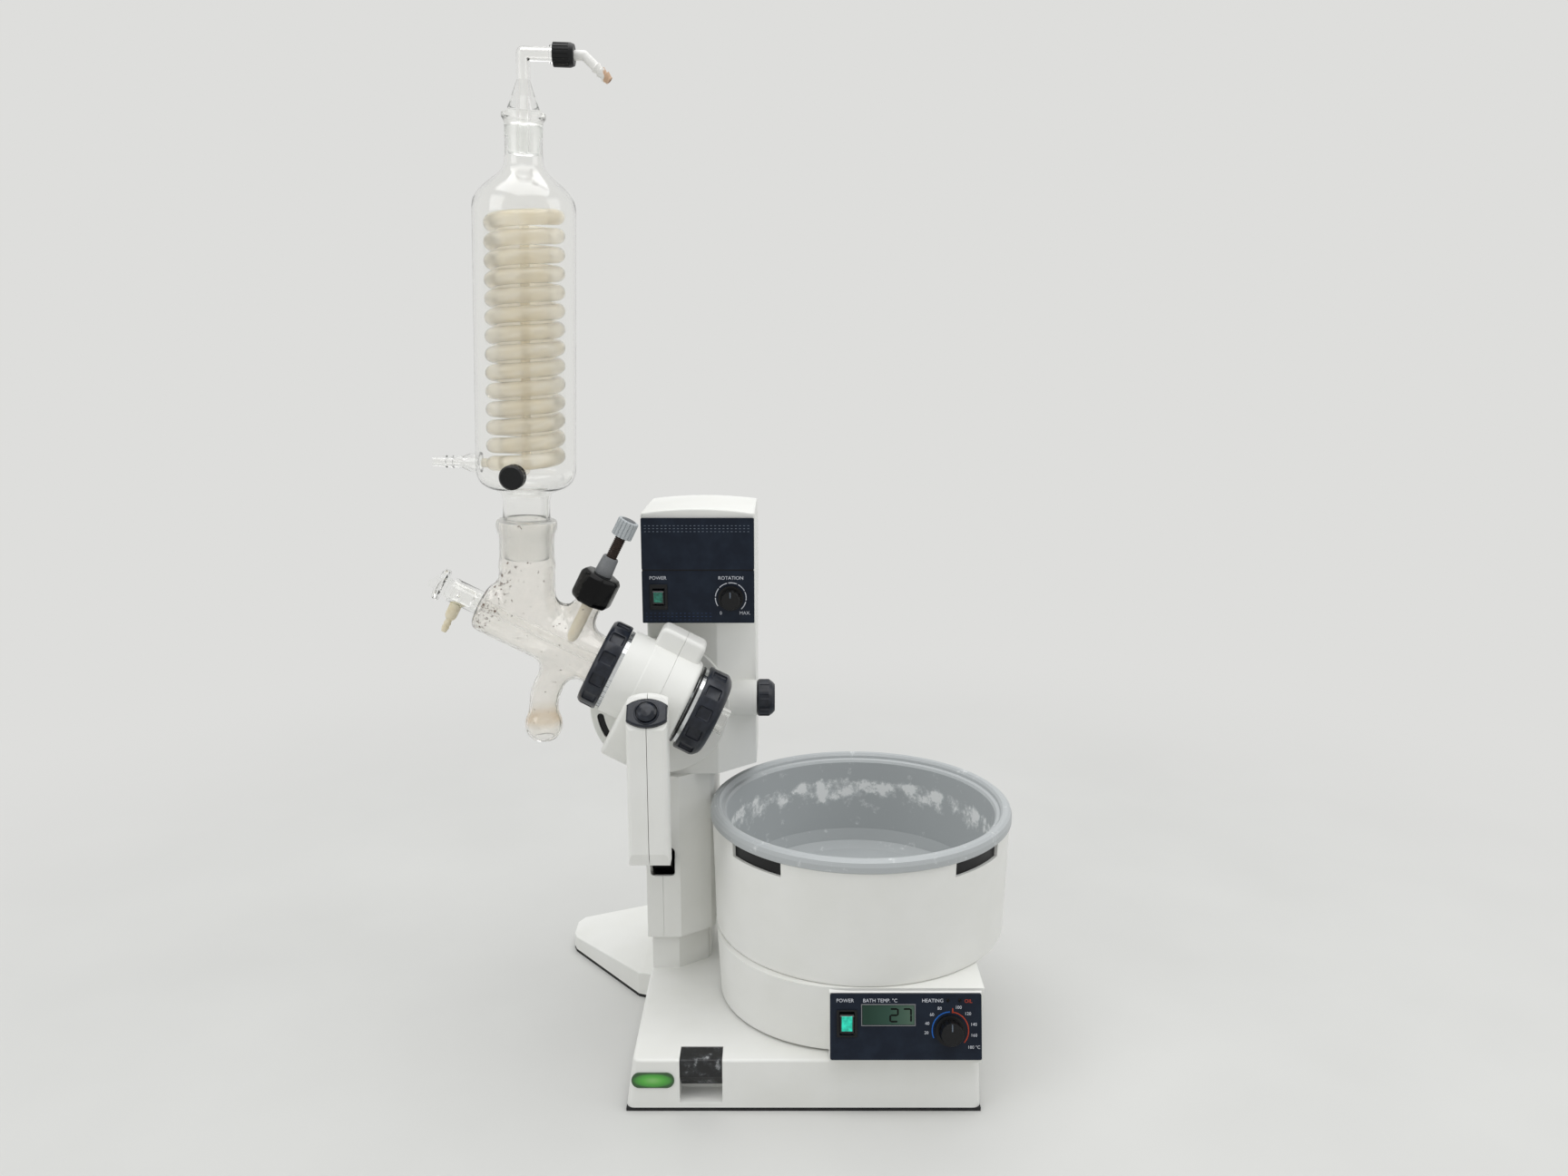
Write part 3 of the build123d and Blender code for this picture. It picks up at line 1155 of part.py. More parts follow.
def jacket_outline(grow):
    r = JACKET_R - grow
    neck = TOP_JOINT_R - grow
    foot = cone_r(CONE_LOW) + 0.7 - grow
    low, high = JACKET_LOW, JACKET_SHOULDER
    lip = SOCKET_TOP - 1
    points = [(0, CONE_LOW), (cone_r(CONE_LOW) - grow, CONE_LOW), (cone_r(lip) - grow, lip)]
    points += [(foot, SOCKET_TOP + 3), (foot, JACKET_FOOT), (foot + 5, JACKET_FOOT + 4)]
    points += [(r - 10, low - 6), (r - 3, low + 2), (r, low + 12), (r, high), (r - 3, high + 12)]
    points += [(r - 11, high + 22), (neck + 8, JACKET_NECK - 11), (neck, JACKET_NECK - 3)]
    return turned(points + [(neck, JACKET_NECK + 4), (neck + 0.6, JACKET_TOP), (0, JACKET_TOP)])


def nipple_outline():
    x = JACKET_R
    points = [(0, x - 6), (10, x - 6), (10, x), (6.5, x + 9), (5, x + 12)]
    for i in range(NIPPLE_RIBS):
        points += [(5.4, x + 14 + i * 6), (4.0, x + 18.5 + i * 6), (4.0, x + 20 + i * 6)]
    return points + [(0, x + NIPPLE_LEN)]


def condenser_jacket():
    z, r = JACKET_TOP, TOP_JOINT_R
    left = Pos(0, 0, NIPPLE_Z) * Rot(0, -90, 0)
    front = Pos(0, 0, PORT_Z) * Rot(90, 0, 0)
    outer = jacket_outline(0)
    outer += turned([(0, z - 5), (r + 1.6, z - 5), (r + 2.7, z - 3), (r + 2.7, z), (0, z)])
    outer += left * turned(nipple_outline()) + front * disc(PORT_R, JACKET_R - 6, JACKET_R + 12)
    inner = jacket_outline(GLASS)
    inner += turned([(0, JACKET_NECK), (r - 3, JACKET_NECK), (r - 1, z + 1), (0, z + 1)])
    inner += disc(CONE_R - GLASS, CONE_LOW - 5, JACKET_FOOT)
    inner += left * disc(2.6, JACKET_R - 8, JACKET_R + NIPPLE_LEN + 2)
    inner += front * disc(PORT_R - 2.6, JACKET_R - 8, JACKET_R + 14)
    return LEAN * (outer - inner)


def cooling_coil():
    path = Edge.make_helix(COIL_PITCH, COIL_HEIGHT, COIL_R)
    start = Plane(origin=path @ 0, z_dir=path % 0)
    coil = Rot(0, 0, 180) * sweep(start * Circle(COIL_TUBE), path=path, is_frenet=True)
    wall = JACKET_R - GLASS - SEAT
    port = Pos(0, 0, PORT_Z - COIL_LOW)
    top = Pos(0, 0, COIL_HEIGHT)
    coil += Rot(0, -90, 0) * disc(COIL_PIPE, COIL_R, wall - 1.8)
    coil += top * pin_x(COIL_PIPE, 0, COIL_R) + top * Sphere(COIL_PIPE)
    coil += disc(COIL_PIPE, PORT_Z - COIL_LOW, COIL_HEIGHT) + port * Sphere(COIL_PIPE)
    coil += port * Rot(90, 0, 0) * disc(COIL_PIPE, 0, wall)
    return LEAN * Pos(0, 0, COIL_LOW) * coil


def condenser_cap():
    r, bore = CAP_R, PORT_R + SEAT / 2
    solid = turned([(bore, 0), (r, 0), (r, 11), (r - 1.5, 13), (0, 13), (0, 6.5), (bore, 6.5)])
    solid = around(solid, Pos(r + 0.3, 0, 0) * disc(0.9, 1.5, 11), CAP_FLUTES)
    return LEAN * Pos(0, 0, PORT_Z) * Rot(90, 0, 0) * Pos(0, 0, JACKET_R + 5.5) * solid


def vacuum_elbow():
    z, r = JACKET_TOP, TOP_JOINT_R
    cone = [(0, z - 32), (r - 3.2, z - 32), (r - 1.2, z - 0.2), (r - 1.2, z + 1), (10, z + 12)]
    solid = turned(cone + [(7.5, z + 20), (ELBOW_R, z + 26), (0, z + 26)]) + disc(ELBOW_R, z + 20, ELBOW_Z)
    knee = Pos(0, 0, ELBOW_Z)
    solid += knee * (Sphere(ELBOW_R) + pin_x(ELBOW_R, 0, ELBOW_ARM - 10))
    solid += knee * pin_x(ELBOW_R + 1.6, ELBOW_ARM - 14, ELBOW_ARM)
    bore = disc(ELBOW_BORE, z - 40, ELBOW_Z) + knee * Sphere(ELBOW_BORE)
    return LEAN * (solid - bore - knee * pin_x(ELBOW_BORE, 0, ELBOW_ARM + 4))


def vacuum_cap():
    r, bore, hole = VACUUM_CAP_R, ELBOW_R + 1.7, BARB_R + 0.1
    solid = turned([(bore, 0), (r, 0), (r, 14), (r - 1.2, 17), (hole, 17), (hole, 12.5), (bore, 12.5)])
    solid = around(solid, Pos(r + 0.3, 0, 0) * disc(0.9, -1, 13), CAP_FLUTES)
    return LEAN * Pos(ELBOW_ARM - 11, 0, ELBOW_Z) * ALONG * solid


def hose_barb():
    r, bend = BARB_R, ELBOW_ARM + 14
    points = [(0, 0), (r, 0), (r, 12)]
    for i in range(3):
        points += [(r + 0.8, 13 + i * 5), (r - 0.6, 17 + i * 5), (r - 0.6, 18 + i * 5)]
    knee = Pos(0, 0, bend)
    turn = knee * Rot(0, BARB_BEND, 0)
    solid = disc(r, ELBOW_ARM + 1, bend) + disc(r + 2.8, ELBOW_ARM + SEAT, ELBOW_ARM + 1.4)
    solid += knee * Sphere(r) + turn * turned(points + [(0, 29)])
    bore = disc(BARB_BORE, ELBOW_ARM - 6, bend) + knee * Sphere(BARB_BORE) + turn * disc(BARB_BORE, 0, 40)
    return LEAN * Pos(0, 0, ELBOW_Z) * ALONG * (solid - bore)


# Heating bath
def bath_plan(grow):
    x0, x1 = BATH_LEFT + grow, BATH_RIGHT - grow
    y0, y1 = BATH_FRONT + grow, BATH_BACK - grow
    face = Pos((x0 + x1) / 2, (y0 + y1) / 2) * Rectangle(x1 - x0, y1 - y0)
    face = fillet(face.vertices().sort_by(Axis.X)[:2], BATH_CORNER - grow)
    return fillet(face.vertices().sort_by(Axis.X)[-2:].sort_by(Axis.Y)[-1:], BATH_BACK_ROUND - grow)


def box_prism(grow, low):
    brow, top, back = BOX_BROW + grow, BATH_SPLIT - 1.5 - grow, BATH_FRONT + BOX_DEPTH
    points = [(BOX_FRONT + grow, BOX_LOW), (brow, BOX_TOP - grow), (brow + 3, top), (back, top)]
    points += [(back, low), (BOX_FRONT + grow, low)]
    return slab_x(points, BOX_LEFT + grow, BOX_RIGHT - grow)


def panel_cuts():
    hole = Box(BATH_ROCKER_W + 2 * ROCKER_CLEAR, BATH_ROCKER_H + 2 * ROCKER_CLEAR, 12)
    stem = Pos(BATH_KNOB_U, BATH_KNOB_V, 0) * disc(KNOB_STEM_R + RUN, -6, 6)
    return PANEL * (Pos(BATH_ROCKER_U, BATH_ROCKER_V, 0) * hole + stem)


def bath_lower():
    floor = BATH_FOOT + BATH_FLOOR
    height = BATH_SPLIT - BATH_WALL - floor
    solid = Pos(0, 0, BATH_FOOT) * extrude(bath_plan(0), BATH_LOWER_H, taper=-BATH_DRAFT)
    solid += box_prism(0, BATH_FOOT)
    solid -= Pos(0, 0, floor) * extrude(bath_plan(BATH_WALL), height, taper=-BATH_DRAFT)
    solid -= box_prism(BATH_WALL, floor)
    well = BATH * disc(SHELL_FLOOR_R - 1, BATH_SPLIT - 20, BATH_SPLIT + 5)
    return solid - well - panel_cuts()


def bath_panel():
    plate = extrude(Rectangle(BOX_WIDTH - 1, BOX_LENGTH - 0.6), BATH_PANEL_T)
    plate = fillet(plate.edges().filter_by(Axis.Z), 1.5)
    plate -= Pos(DISPLAY_U, DISPLAY_V, BATH_PANEL_SEAT) * extrude(Rectangle(DISPLAY_W, DISPLAY_H), 5)
    return PANEL * plate - panel_cuts()


def bath_display():
    window = Rectangle(DISPLAY_W - 2 * SEAT, DISPLAY_H - 2 * SEAT)
    lens = extrude(window, BATH_PANEL_T - BATH_PANEL_SEAT - SEAT)
    return PANEL * Pos(DISPLAY_U, DISPLAY_V, BATH_PANEL_SEAT) * lens


def bath_switch():
    place = PANEL * Pos(BATH_ROCKER_U, BATH_ROCKER_V, BATH_PANEL_T - ROCKER_DEPTH - 1.2) * Rot(-90, 0, 0)
    return place * rocker(BATH_ROCKER_W, BATH_ROCKER_H)


def bath_knob():
    place = PANEL * Pos(BATH_KNOB_U, BATH_KNOB_V, BATH_PANEL_T + GAP)
    return place * knob(BATH_KNOB_R, BATH_KNOB_LEN, BATH_STEM_LEN, 14)


def bath_board():
    y, z = BATH_FRONT + 12, BATH_FOOT + BATH_FLOOR
    x0, x1 = BOX_LEFT + BOARD_EDGE, BOX_RIGHT - BOARD_EDGE
    board = block(x0, x1, y, y + BOARD_T, z, z + 46)
    for i in range(int((x1 - x0 - BOARD_EDGE) // CHIP_PITCH)):
        x = x0 + BOARD_EDGE + i * CHIP_PITCH
        board += block(x, x + CHIP_W, y + BOARD_T, y + 12, z + 8, z + 26)
    return board


def grip_sector(inner, outer, angle, z0, z1):
    reach = 2 * outer * math.tan(math.radians(angle))
    wedge = prism([(0, 0), (2 * outer, -reach), (2 * outer, reach)], z0 - 1, z1 + 1)
    return tube(outer, inner, z0, z1) & wedge


def bath_shell():
    low, top, z0, z1 = SHELL_LOW_R, SHELL_TOP_R, BATH_SPLIT, BATH_SHELL_TOP
    floor = z0 + BATH_WALL
    points = [(SHELL_FLOOR_R, z0), (low - 2, z0), (low - 0.6, z0 + 0.6), (low, z0 + 2), (top, z1)]
    inner = low - BATH_WALL
    points += [(top - BATH_WALL, z1), (inner, z0 + 6), (inner - 3, floor), (SHELL_FLOOR_R, floor)]
    cut = grip_sector(low - 17, low + 23, GRIP_ANGLE, z1 - GRIP_HEIGHT, z1 + 2)
    return BATH * around(turned(points), cut, GRIPS, 45.0)


def bath_grips():
    z1 = BATH_SHELL_TOP
    outer = SHELL_TOP_R - BATH_WALL - 0.5
    cup = grip_sector(outer - GRIP_T, outer, GRIP_ANGLE + 1.5, z1 - GRIP_HEIGHT - 3, z1 - 1.5)
    return Compound(children=[BATH * Rot(0, 0, 45 + 360 * i / GRIPS) * cup.solid() for i in range(GRIPS)])


def bath_pan():
    z0, z1, top = PAN_FLOOR, BATH_SHELL_TOP, PAN_RIM_TOP
    rim, r, floor = PAN_RIM_R, PAN_R, PAN_FLOOR_R
    points = [(0, z0 - PAN_WALL), (floor - 16, z0 - PAN_WALL), (floor - 3, z0 + 3), (floor + 1.5, z0 + 16)]
    points += [(r + PAN_WALL, z1), (rim - 1.2, z1), (rim, z1 + 1.2), (rim, z1 + 6), (rim - 1.2, top - 2.4)]
    points += [(rim - 3.6, top - 0.5), (rim - 6, top), (rim - 8.4, top - 0.6), (rim - 10.4, top - 2.8)]
    points += [(rim - 11.2, top - 5.2), (r + 1.6, top - 6.2), (r, top - 8.5), (floor - 0.5, z0 + 16.5)]
    return BATH * turned(points + [(floor - 5, z0 + 5), (floor - 17, z0), (0, z0)])


def bath_heater():
    return BATH * Pos(0, 0, PAN_FLOOR - PAN_WALL - HEATER_TUBE) * Torus(HEATER_R, HEATER_TUBE)


# Writing the pieces
LOWER_LEFT, LOWER_RIGHT = cover_halves()
DRIVE_LEFT, DRIVE_RIGHT = drive_halves()

PIECES = {
    "lower_cover_left": LOWER_LEFT,
    "lower_cover_right": LOWER_RIGHT,
    "drive_cover_left": DRIVE_LEFT,
    "drive_cover_right": DRIVE_RIGHT,
}
MAKERS = [
    base_casting, base_edging, bath_lock, column_skirt, guide_profile, gas_cylinder, gas_rod,
    guide_bushes, upper_housing, upper_panel, control_panel, power_switch, speed_knob,
    control_board, power_supply, clamp_knob, clamp_screw, lever_grip, lever_cap, lever_arm,
    thumb_button, tilt_flange, drive_motor, motor_pulley, drive_belt, shaft_bearings, thread_ring,
    shaft_seal, condenser_nut, hollow_shaft, nut_ring, flask_nut, vapour_duct, glass_manifold,
    feed_tube, stopcock_plug, valve_nut, valve_collar, valve_spindle, valve_knob, condenser_jacket,
    cooling_coil, condenser_cap, vacuum_elbow, vacuum_cap, hose_barb, bath_lower, bath_shell,
    bath_grips, bath_pan, bath_heater, bath_board, bath_panel, bath_display, bath_switch, bath_knob,
]
for maker in MAKERS:
    PIECES[maker.__name__] = maker()
for name, piece in PIECES.items():
    export_step(piece, "parts/" + name + ".step")
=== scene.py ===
# %% [markdown]
# # Rotary evaporator with a heating bath
# This lesson dresses a finished CAD model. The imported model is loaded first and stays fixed: its
# nodes keep their shape and place, and we give them finishes or lay finer pieces over them.

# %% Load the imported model
import json
import math

import bmesh
import bpy
from mathutils import Matrix, Vector

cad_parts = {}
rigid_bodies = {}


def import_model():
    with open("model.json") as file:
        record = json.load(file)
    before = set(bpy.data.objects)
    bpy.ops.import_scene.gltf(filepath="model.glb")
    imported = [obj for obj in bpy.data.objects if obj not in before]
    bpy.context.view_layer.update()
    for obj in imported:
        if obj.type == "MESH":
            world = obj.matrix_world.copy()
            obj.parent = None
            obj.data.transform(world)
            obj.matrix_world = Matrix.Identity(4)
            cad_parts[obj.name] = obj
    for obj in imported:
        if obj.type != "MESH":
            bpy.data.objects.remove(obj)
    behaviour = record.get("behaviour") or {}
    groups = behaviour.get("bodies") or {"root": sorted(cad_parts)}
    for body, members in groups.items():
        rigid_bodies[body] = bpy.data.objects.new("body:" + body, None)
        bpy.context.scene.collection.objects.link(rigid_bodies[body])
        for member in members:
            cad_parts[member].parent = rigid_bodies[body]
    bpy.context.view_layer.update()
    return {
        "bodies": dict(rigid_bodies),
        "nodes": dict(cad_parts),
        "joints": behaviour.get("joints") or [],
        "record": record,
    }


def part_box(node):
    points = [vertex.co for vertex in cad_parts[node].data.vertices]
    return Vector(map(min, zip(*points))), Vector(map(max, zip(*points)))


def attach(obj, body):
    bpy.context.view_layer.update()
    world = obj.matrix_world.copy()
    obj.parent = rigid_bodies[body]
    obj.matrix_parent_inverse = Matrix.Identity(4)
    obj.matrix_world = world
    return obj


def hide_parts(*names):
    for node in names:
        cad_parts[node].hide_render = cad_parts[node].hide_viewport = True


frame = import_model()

NODES = frame["nodes"]
MM = 0.001
bpy.ops.object.select_all(action="DESELECT")
print("nodes", len(NODES))

# %% [markdown]
# The camera stands where the photographer stood: at eye level above the bench, a little over a metre
# from the drive head, looking slightly down. A phone's main lens has about 27 mm on a full frame.

# %% Camera
CAMERA_MM = (78.0, -1150.0, 650.0)
CAMERA_DOWN_DEG = 11.31
CAMERA_LENS_MM = 27.5
SENSOR_MM = 36.0

bpy.ops.object.camera_add(location=[v * MM for v in CAMERA_MM],
                          rotation=(math.radians(90 - CAMERA_DOWN_DEG), 0, 0))
camera = bpy.context.object
camera.data.lens = CAMERA_LENS_MM
camera.data.sensor_width = SENSOR_MM
bpy.context.scene.camera = camera
print("camera at", tuple(camera.location))

# %% [markdown]
# One small function adds a shader node with its settings, its links and, on a colour ramp, its stops.
# Colours are written as the sRGB hex values that a paint program shows, and one function turns them
# into linear light. Most surfaces here are one colour that wanders a little in soft patches, so a
# third function builds that, with a fine moulded grain where the real surface has one.

# %% Node, colour and finish helpers
MATH, VECTOR, RANGE = "ShaderNodeMath", "ShaderNodeVectorMath", "ShaderNodeMapRange"
NOISE, RAMP, SPLIT = "ShaderNodeTexNoise", "ShaderNodeValToRGB", "ShaderNodeSeparateXYZ"
MIX, MIX_SHADER, BUMP = "ShaderNodeMix", "ShaderNodeMixShader", "ShaderNodeBump"
GRAIN_DEPTH_MM = 0.2


def linear(hex_colour):
    channels = [int(hex_colour[i:i + 2], 16) / 255 for i in (1, 3, 5)]
    curve = [c / 12.92 if c <= 0.04045 else ((c + 0.055) / 1.055) ** 2.4 for c in channels]
    return (*curve, 1.0)


def wire(tree, node, inputs):
    """Sets sockets to constants, or links them to a socket or to a node's first output.

    A list fills the sockets in order, and a dict fills them by name.
    """
    pairs = inputs.items() if isinstance(inputs, dict) else enumerate(inputs)
    for socket, value in pairs:
        if isinstance(value, bpy.types.Node):
            value = value.outputs[0]
        if isinstance(value, bpy.types.NodeSocket):
            tree.links.new(value, node.inputs[socket])
        else:
            node.inputs[socket].default_value = value


def add_node(tree, kind, inputs=(), stops=(), **settings):
    node = tree.nodes.new(kind)
    for name, value in settings.items():
        setattr(node, name, value)
    wire(tree, node, inputs)
    if stops:
        marks = node.color_ramp.elements
        while len(marks) < len(stops):
            marks.new(0.5)
        for mark, (position, colour) in zip(marks, stops):
            mark.position = position
            mark.color = linear(colour)
    return node


def per_metre(size_mm):
    """Texture scale whose cells are about size_mm wide, in an object measured in metres."""
    return 1.0 / (size_mm * MM)


def new_finish(name, roughness, **sockets):
    finish = bpy.data.materials.new(name)
    finish.use_nodes = True
    tree = finish.node_tree
    shader = tree.nodes["Principled BSDF"]
    wire(tree, shader, {"Roughness": roughness})
    wire(tree, shader, {socket.replace("_", " "): value for socket, value in sockets.items()})
    place = add_node(tree, "ShaderNodeTexCoord").outputs["Object"]
    return finish, tree, shader, place


def mottled(name, roughness, patch_mm, detail, stops, grain=None, wander=0.5, **sockets):
    """A colour that wanders between stops in patches, with a grain of (width in mm, detail, strength).

    A real grain is finer than the render shows, so it is drawn about a millimetre wide.
    """
    finish, tree, shader, place = new_finish(name, roughness, **sockets)
    patches = add_node(tree, NOISE, {"Vector": place, "Scale": per_metre(patch_mm), "Detail": detail,
                                     "Roughness": wander})
    wire(tree, shader, {"Base Color": add_node(tree, RAMP, [patches], stops)})
    if grain:
        grain_mm, grain_detail, strength = grain
        fine = add_node(tree, NOISE, {"Vector": place, "Scale": per_metre(grain_mm), "Detail": grain_detail})
        bump = add_node(tree, BUMP, {"Height": fine, "Strength": strength, "Distance": GRAIN_DEPTH_MM * MM})
        wire(tree, shader, {"Normal": bump})
    return finish


print("helpers ready")

# %% [markdown]
# The room: a plain pale bench top and soft light from all round, as in a white laboratory. A modelled
# wall would throw shadows, so the bench fades into the background instead. The background colour
# reaches the camera, glossy and transmitted rays only, so it doesn't add light.

# %% Bench top, light and world
BENCH_HALF_M = 6.0
BENCH_CENTRE_M = (0.08, -0.1, 0)
FADE_START_M, FADE_END_M = 0.45, 1.6
BACKGROUND = "#DEDEDC"
ROOM_COLOUR, ROOM_STRENGTH = "#F2F4F6", 0.54

bpy.ops.mesh.primitive_plane_add(size=2 * BENCH_HALF_M, location=BENCH_CENTRE_M)
bench = bpy.context.object
bench.name = "bench_top"
bench_finish = mottled("laminate_bench_top", 0.5, 220, 3.0, [(0.3, "#CCCCC9"), (0.7, "#D0D0CD")])
tree = bench_finish.node_tree
place = tree.nodes["Texture Coordinate"].outputs["Object"]
reach = add_node(tree, VECTOR, [place], operation="LENGTH").outputs["Value"]
far = add_node(tree, RANGE, [reach, FADE_START_M, FADE_END_M], interpolation_type="SMOOTHERSTEP")
wall = add_node(tree, "ShaderNodeEmission", {"Color": linear(BACKGROUND), "Strength": 1.0})
sweep = add_node(tree, MIX_SHADER, [far, tree.nodes["Principled BSDF"], wall])
wire(tree, tree.nodes["Material Output"], {"Surface": sweep})
bench.data.materials.append(bench_finish)

world = bpy.data.worlds.new("white_laboratory")
bpy.context.scene.world = world
world.use_nodes = True
tree = world.node_tree
room = tree.nodes["Background"]
wire(tree, room, {"Color": linear(ROOM_COLOUR), "Strength": ROOM_STRENGTH})
seen = add_node(tree, "ShaderNodeBackground", {"Color": linear(BACKGROUND), "Strength": 1.0})
rays = add_node(tree, "ShaderNodeLightPath").outputs
either = add_node(tree, MATH, [rays["Is Camera Ray"], rays["Is Glossy Ray"]], operation="MAXIMUM")
any_of = add_node(tree, MATH, [either, rays["Is Transmission Ray"]], operation="MAXIMUM")
mix = add_node(tree, MIX_SHADER, [any_of, room, seen])
wire(tree, tree.nodes["World Output"], {"Surface": mix})

LAMPS = [
    ("ceiling_light", (0.15, -0.2, 4.0), (0.0, 0.0, 0.0), 4.2, 116.0),
    ("window_light", (-1.9, -1.4, 1.7), (0.0, -0.05, 0.3), 1.4, 11.0),
    ("right_light", (2.2, -0.3, 1.6), (0.1, -0.05, 0.3), 1.4, 8.0),
]
for lamp_name, spot, aim, size, watts in LAMPS:
    bpy.ops.object.light_add(type="AREA", location=spot)
    lamp = bpy.context.object
    lamp.name = lamp_name
    lamp.data.size = size
    lamp.data.energy = watts
    lamp.rotation_euler = (Vector(aim) - Vector(spot)).to_track_quat("-Z", "Y").to_euler()
bpy.context.scene.view_settings.view_transform = "Standard"
print("lamps", len(LAMPS))

# %% [markdown]
# Frames for the pieces and patterns that follow, in millimetres as in the drawings: the drive shaft is
# tilted, the condenser leans a little, the bath's panel slopes and the tower's panels stand upright.
# On a face, X runs to the right, Y up and Z out of it.

# %% Frames of the machine
HEAD_MM = (-39.5, -105.0, 349.0)
HEAD_TILT_DEG = 27.0
NECK_MM = (-151.589, -105.0, 406.112)
NECK_LEAN_DEG = 1.95
BRANCH_S = -86.0
BATH_PANEL_MM = (182.315, -216.55, 80.3)
BATH_SLOPE_DEG = 75.717
BATH_PANEL_T = 2.5
BATH_ROCKER = (-50.5, 3.0)
TOWER_FACE_Y = -83.0
TOWER_ROCKER = (-36.3, 428.0)
BADGE_MM = (-35.5, -216.84, 29.0)
BADGE_W, BADGE_H = 37.0, 14.0
BASE_LEAN_DEG = 2.58


def frame_at(place_mm, turn_deg=0.0, axis="Y"):
    return Matrix.Translation(Vector(place_mm) * MM) @ Matrix.Rotation(math.radians(turn_deg), 4, axis)


WORLD = Matrix.Identity(4)
HEAD = frame_at(HEAD_MM, HEAD_TILT_DEG)
SHAFT = HEAD @ frame_at((0, 0, 0), 90)
CONDENSER = frame_at(NECK_MM, NECK_LEAN_DEG)
BRANCH = HEAD @ frame_at((BRANCH_S, 0, 0))
BATH_FACE = frame_at(BATH_PANEL_MM, BATH_SLOPE_DEG, "X") @ frame_at((0, 0, BATH_PANEL_T))
TOWER_FACE = frame_at((0, TOWER_FACE_Y, 0), 90, "X")
BASE_FACE = frame_at(BADGE_MM, 90 - BASE_LEAN_DEG, "X")
print("shaft axis", tuple(SHAFT.to_3x3() @ Vector((0, 0, 1))))

# %% [markdown]
# ## Finishes
# Each finish is named for the real material and how its surface was made. Paint and mouldings differ
# mostly in colour, gloss and grain, so each is one line of a table. A picture of the surface could be
# projected instead, but noise has no seams and keeps its real size on every piece.

# %% Paint, plastics and metals
FINISHES = {
    # Semi-gloss enamel on cast aluminium: a soft orange peel about a millimetre wide.
    "casting": mottled("enamelled_casting", 0.34, 60, 4.0, [(0.35, "#E8E8E3"), (0.62, "#ECECE8")],
                       grain=(1.6, 2.0, 0.08)),
    # Painted polyurethane foam: a fine spark-eroded grain takes the shine off.
    "housing": mottled("grained_white_housing", 0.46, 45, 4.0, [(0.3, "#E7E7E2"), (0.65, "#EBEBE7")],
                       grain=(0.9, 3.0, 0.16)),
    # Dark blue ABS with a satin moulded grain, a little dusty.
    "navy": mottled("navy_abs", 0.42, 14, 5.0, [(0.4, "#0F1826"), (0.75, "#1A2432")],
                    grain=(0.7, 3.0, 0.18), Specular_IOR_Level=0.2),
    # Black polypropylene, satin.
    "black": mottled("black_polypropylene", 0.36, 1.2, 3.0, [(0.3, "#0B0C0D"), (0.7, "#131416")],
                     grain=(1.2, 3.0, 0.12), Specular_IOR_Level=0.28),
    # Charcoal-blue polypropylene of the grips, with pale dust; the thumb polishes one of them.
    **{key: mottled(name, roughness, 5, 5.0, [(0.4, "#151922"), (0.75, "#242934")], grain=(0.8, 3.0, 0.15),
                    Specular_IOR_Level=0.25, Coat_Weight=0.25, Coat_Roughness=0.2)
       for key, name, roughness in (("nut", "charcoal_polypropylene", 0.34),
                                    ("thumb", "thumb_worn_polypropylene", 0.16))},
    # Grey polyamide, satin, in three shades; the darkest is dusty.
    "grey": mottled("grey_polyamide", 0.5, 1.0, 3.0, [(0.3, "#ABB0B3"), (0.7, "#B9BEC0")]),
    "mid_grey": mottled("mid_grey_polyamide", 0.5, 1.0, 3.0, [(0.3, "#6E7072"), (0.7, "#7C7E80")]),
    "dark_grey": mottled("dark_grey_polyamide", 0.5, 2.0, 4.0, [(0.3, "#4A4D51"), (0.7, "#63666A")]),
    # Dark brown PEEK of the threaded spindle.
    "brown": mottled("brown_peek", 0.4, 2.0, 3.0, [(0.3, "#271B17"), (0.7, "#382923")],
                     Specular_IOR_Level=0.35),
    # PTFE: milky white and waxy, and the same stained cream by solvents.
    "ptfe": mottled("white_ptfe", 0.5, 6.0, 3.0, [(0.3, "#E6E4DE"), (0.7, "#F0EFEB")]),
    "cream": mottled("stained_ptfe", 0.45, 7, 4.0, [(0.3, "#DCCFAF"), (0.7, "#EAE1CA")]),
    # Matt black rubber, dusty.
    "rubber": mottled("black_rubber", 0.8, 8.0, 4.0, [(0.4, "#171718"), (0.75, "#2A2A2A")]),
    # Black paint on a metal catch, rubbed grey on top where the thumb presses.
    "lock": mottled("rubbed_black_paint", 0.42, 9, 6.0,
                    [(0.48, "#0D0E10"), (0.57, "#2C2E31"), (0.68, "#9A9C9E")], wander=0.65),
    # Turned steel, chrome plate and anodised aluminium: soft clouds of light and dark metal.
    "steel": mottled("turned_steel", 0.3, 2.0, 4.0, [(0.3, "#8F9294"), (0.7, "#B4B7B9")], Metallic=1.0),
    "chrome": mottled("chrome_plate", 0.12, 3.0, 4.0, [(0.3, "#C9CBCD"), (0.7, "#DADCDD")], Metallic=1.0),
    "aluminium": mottled("anodised_aluminium", 0.35, 1.5, 4.0, [(0.3, "#B2B5B8"), (0.7, "#C6C9CB")],
                         Metallic=1.0),
    # Glass coil coated inside with cream-coloured scale from the cooling water.
    "coil": mottled("scaled_coil_glass", 0.35, 22, 5.0, [(0.3, "#FBF2DE"), (0.7, "#FFFAF0")], IOR=1.15,
                    Transmission_Weight=0.78, Coat_Weight=0.7, Coat_Roughness=0.04),
}

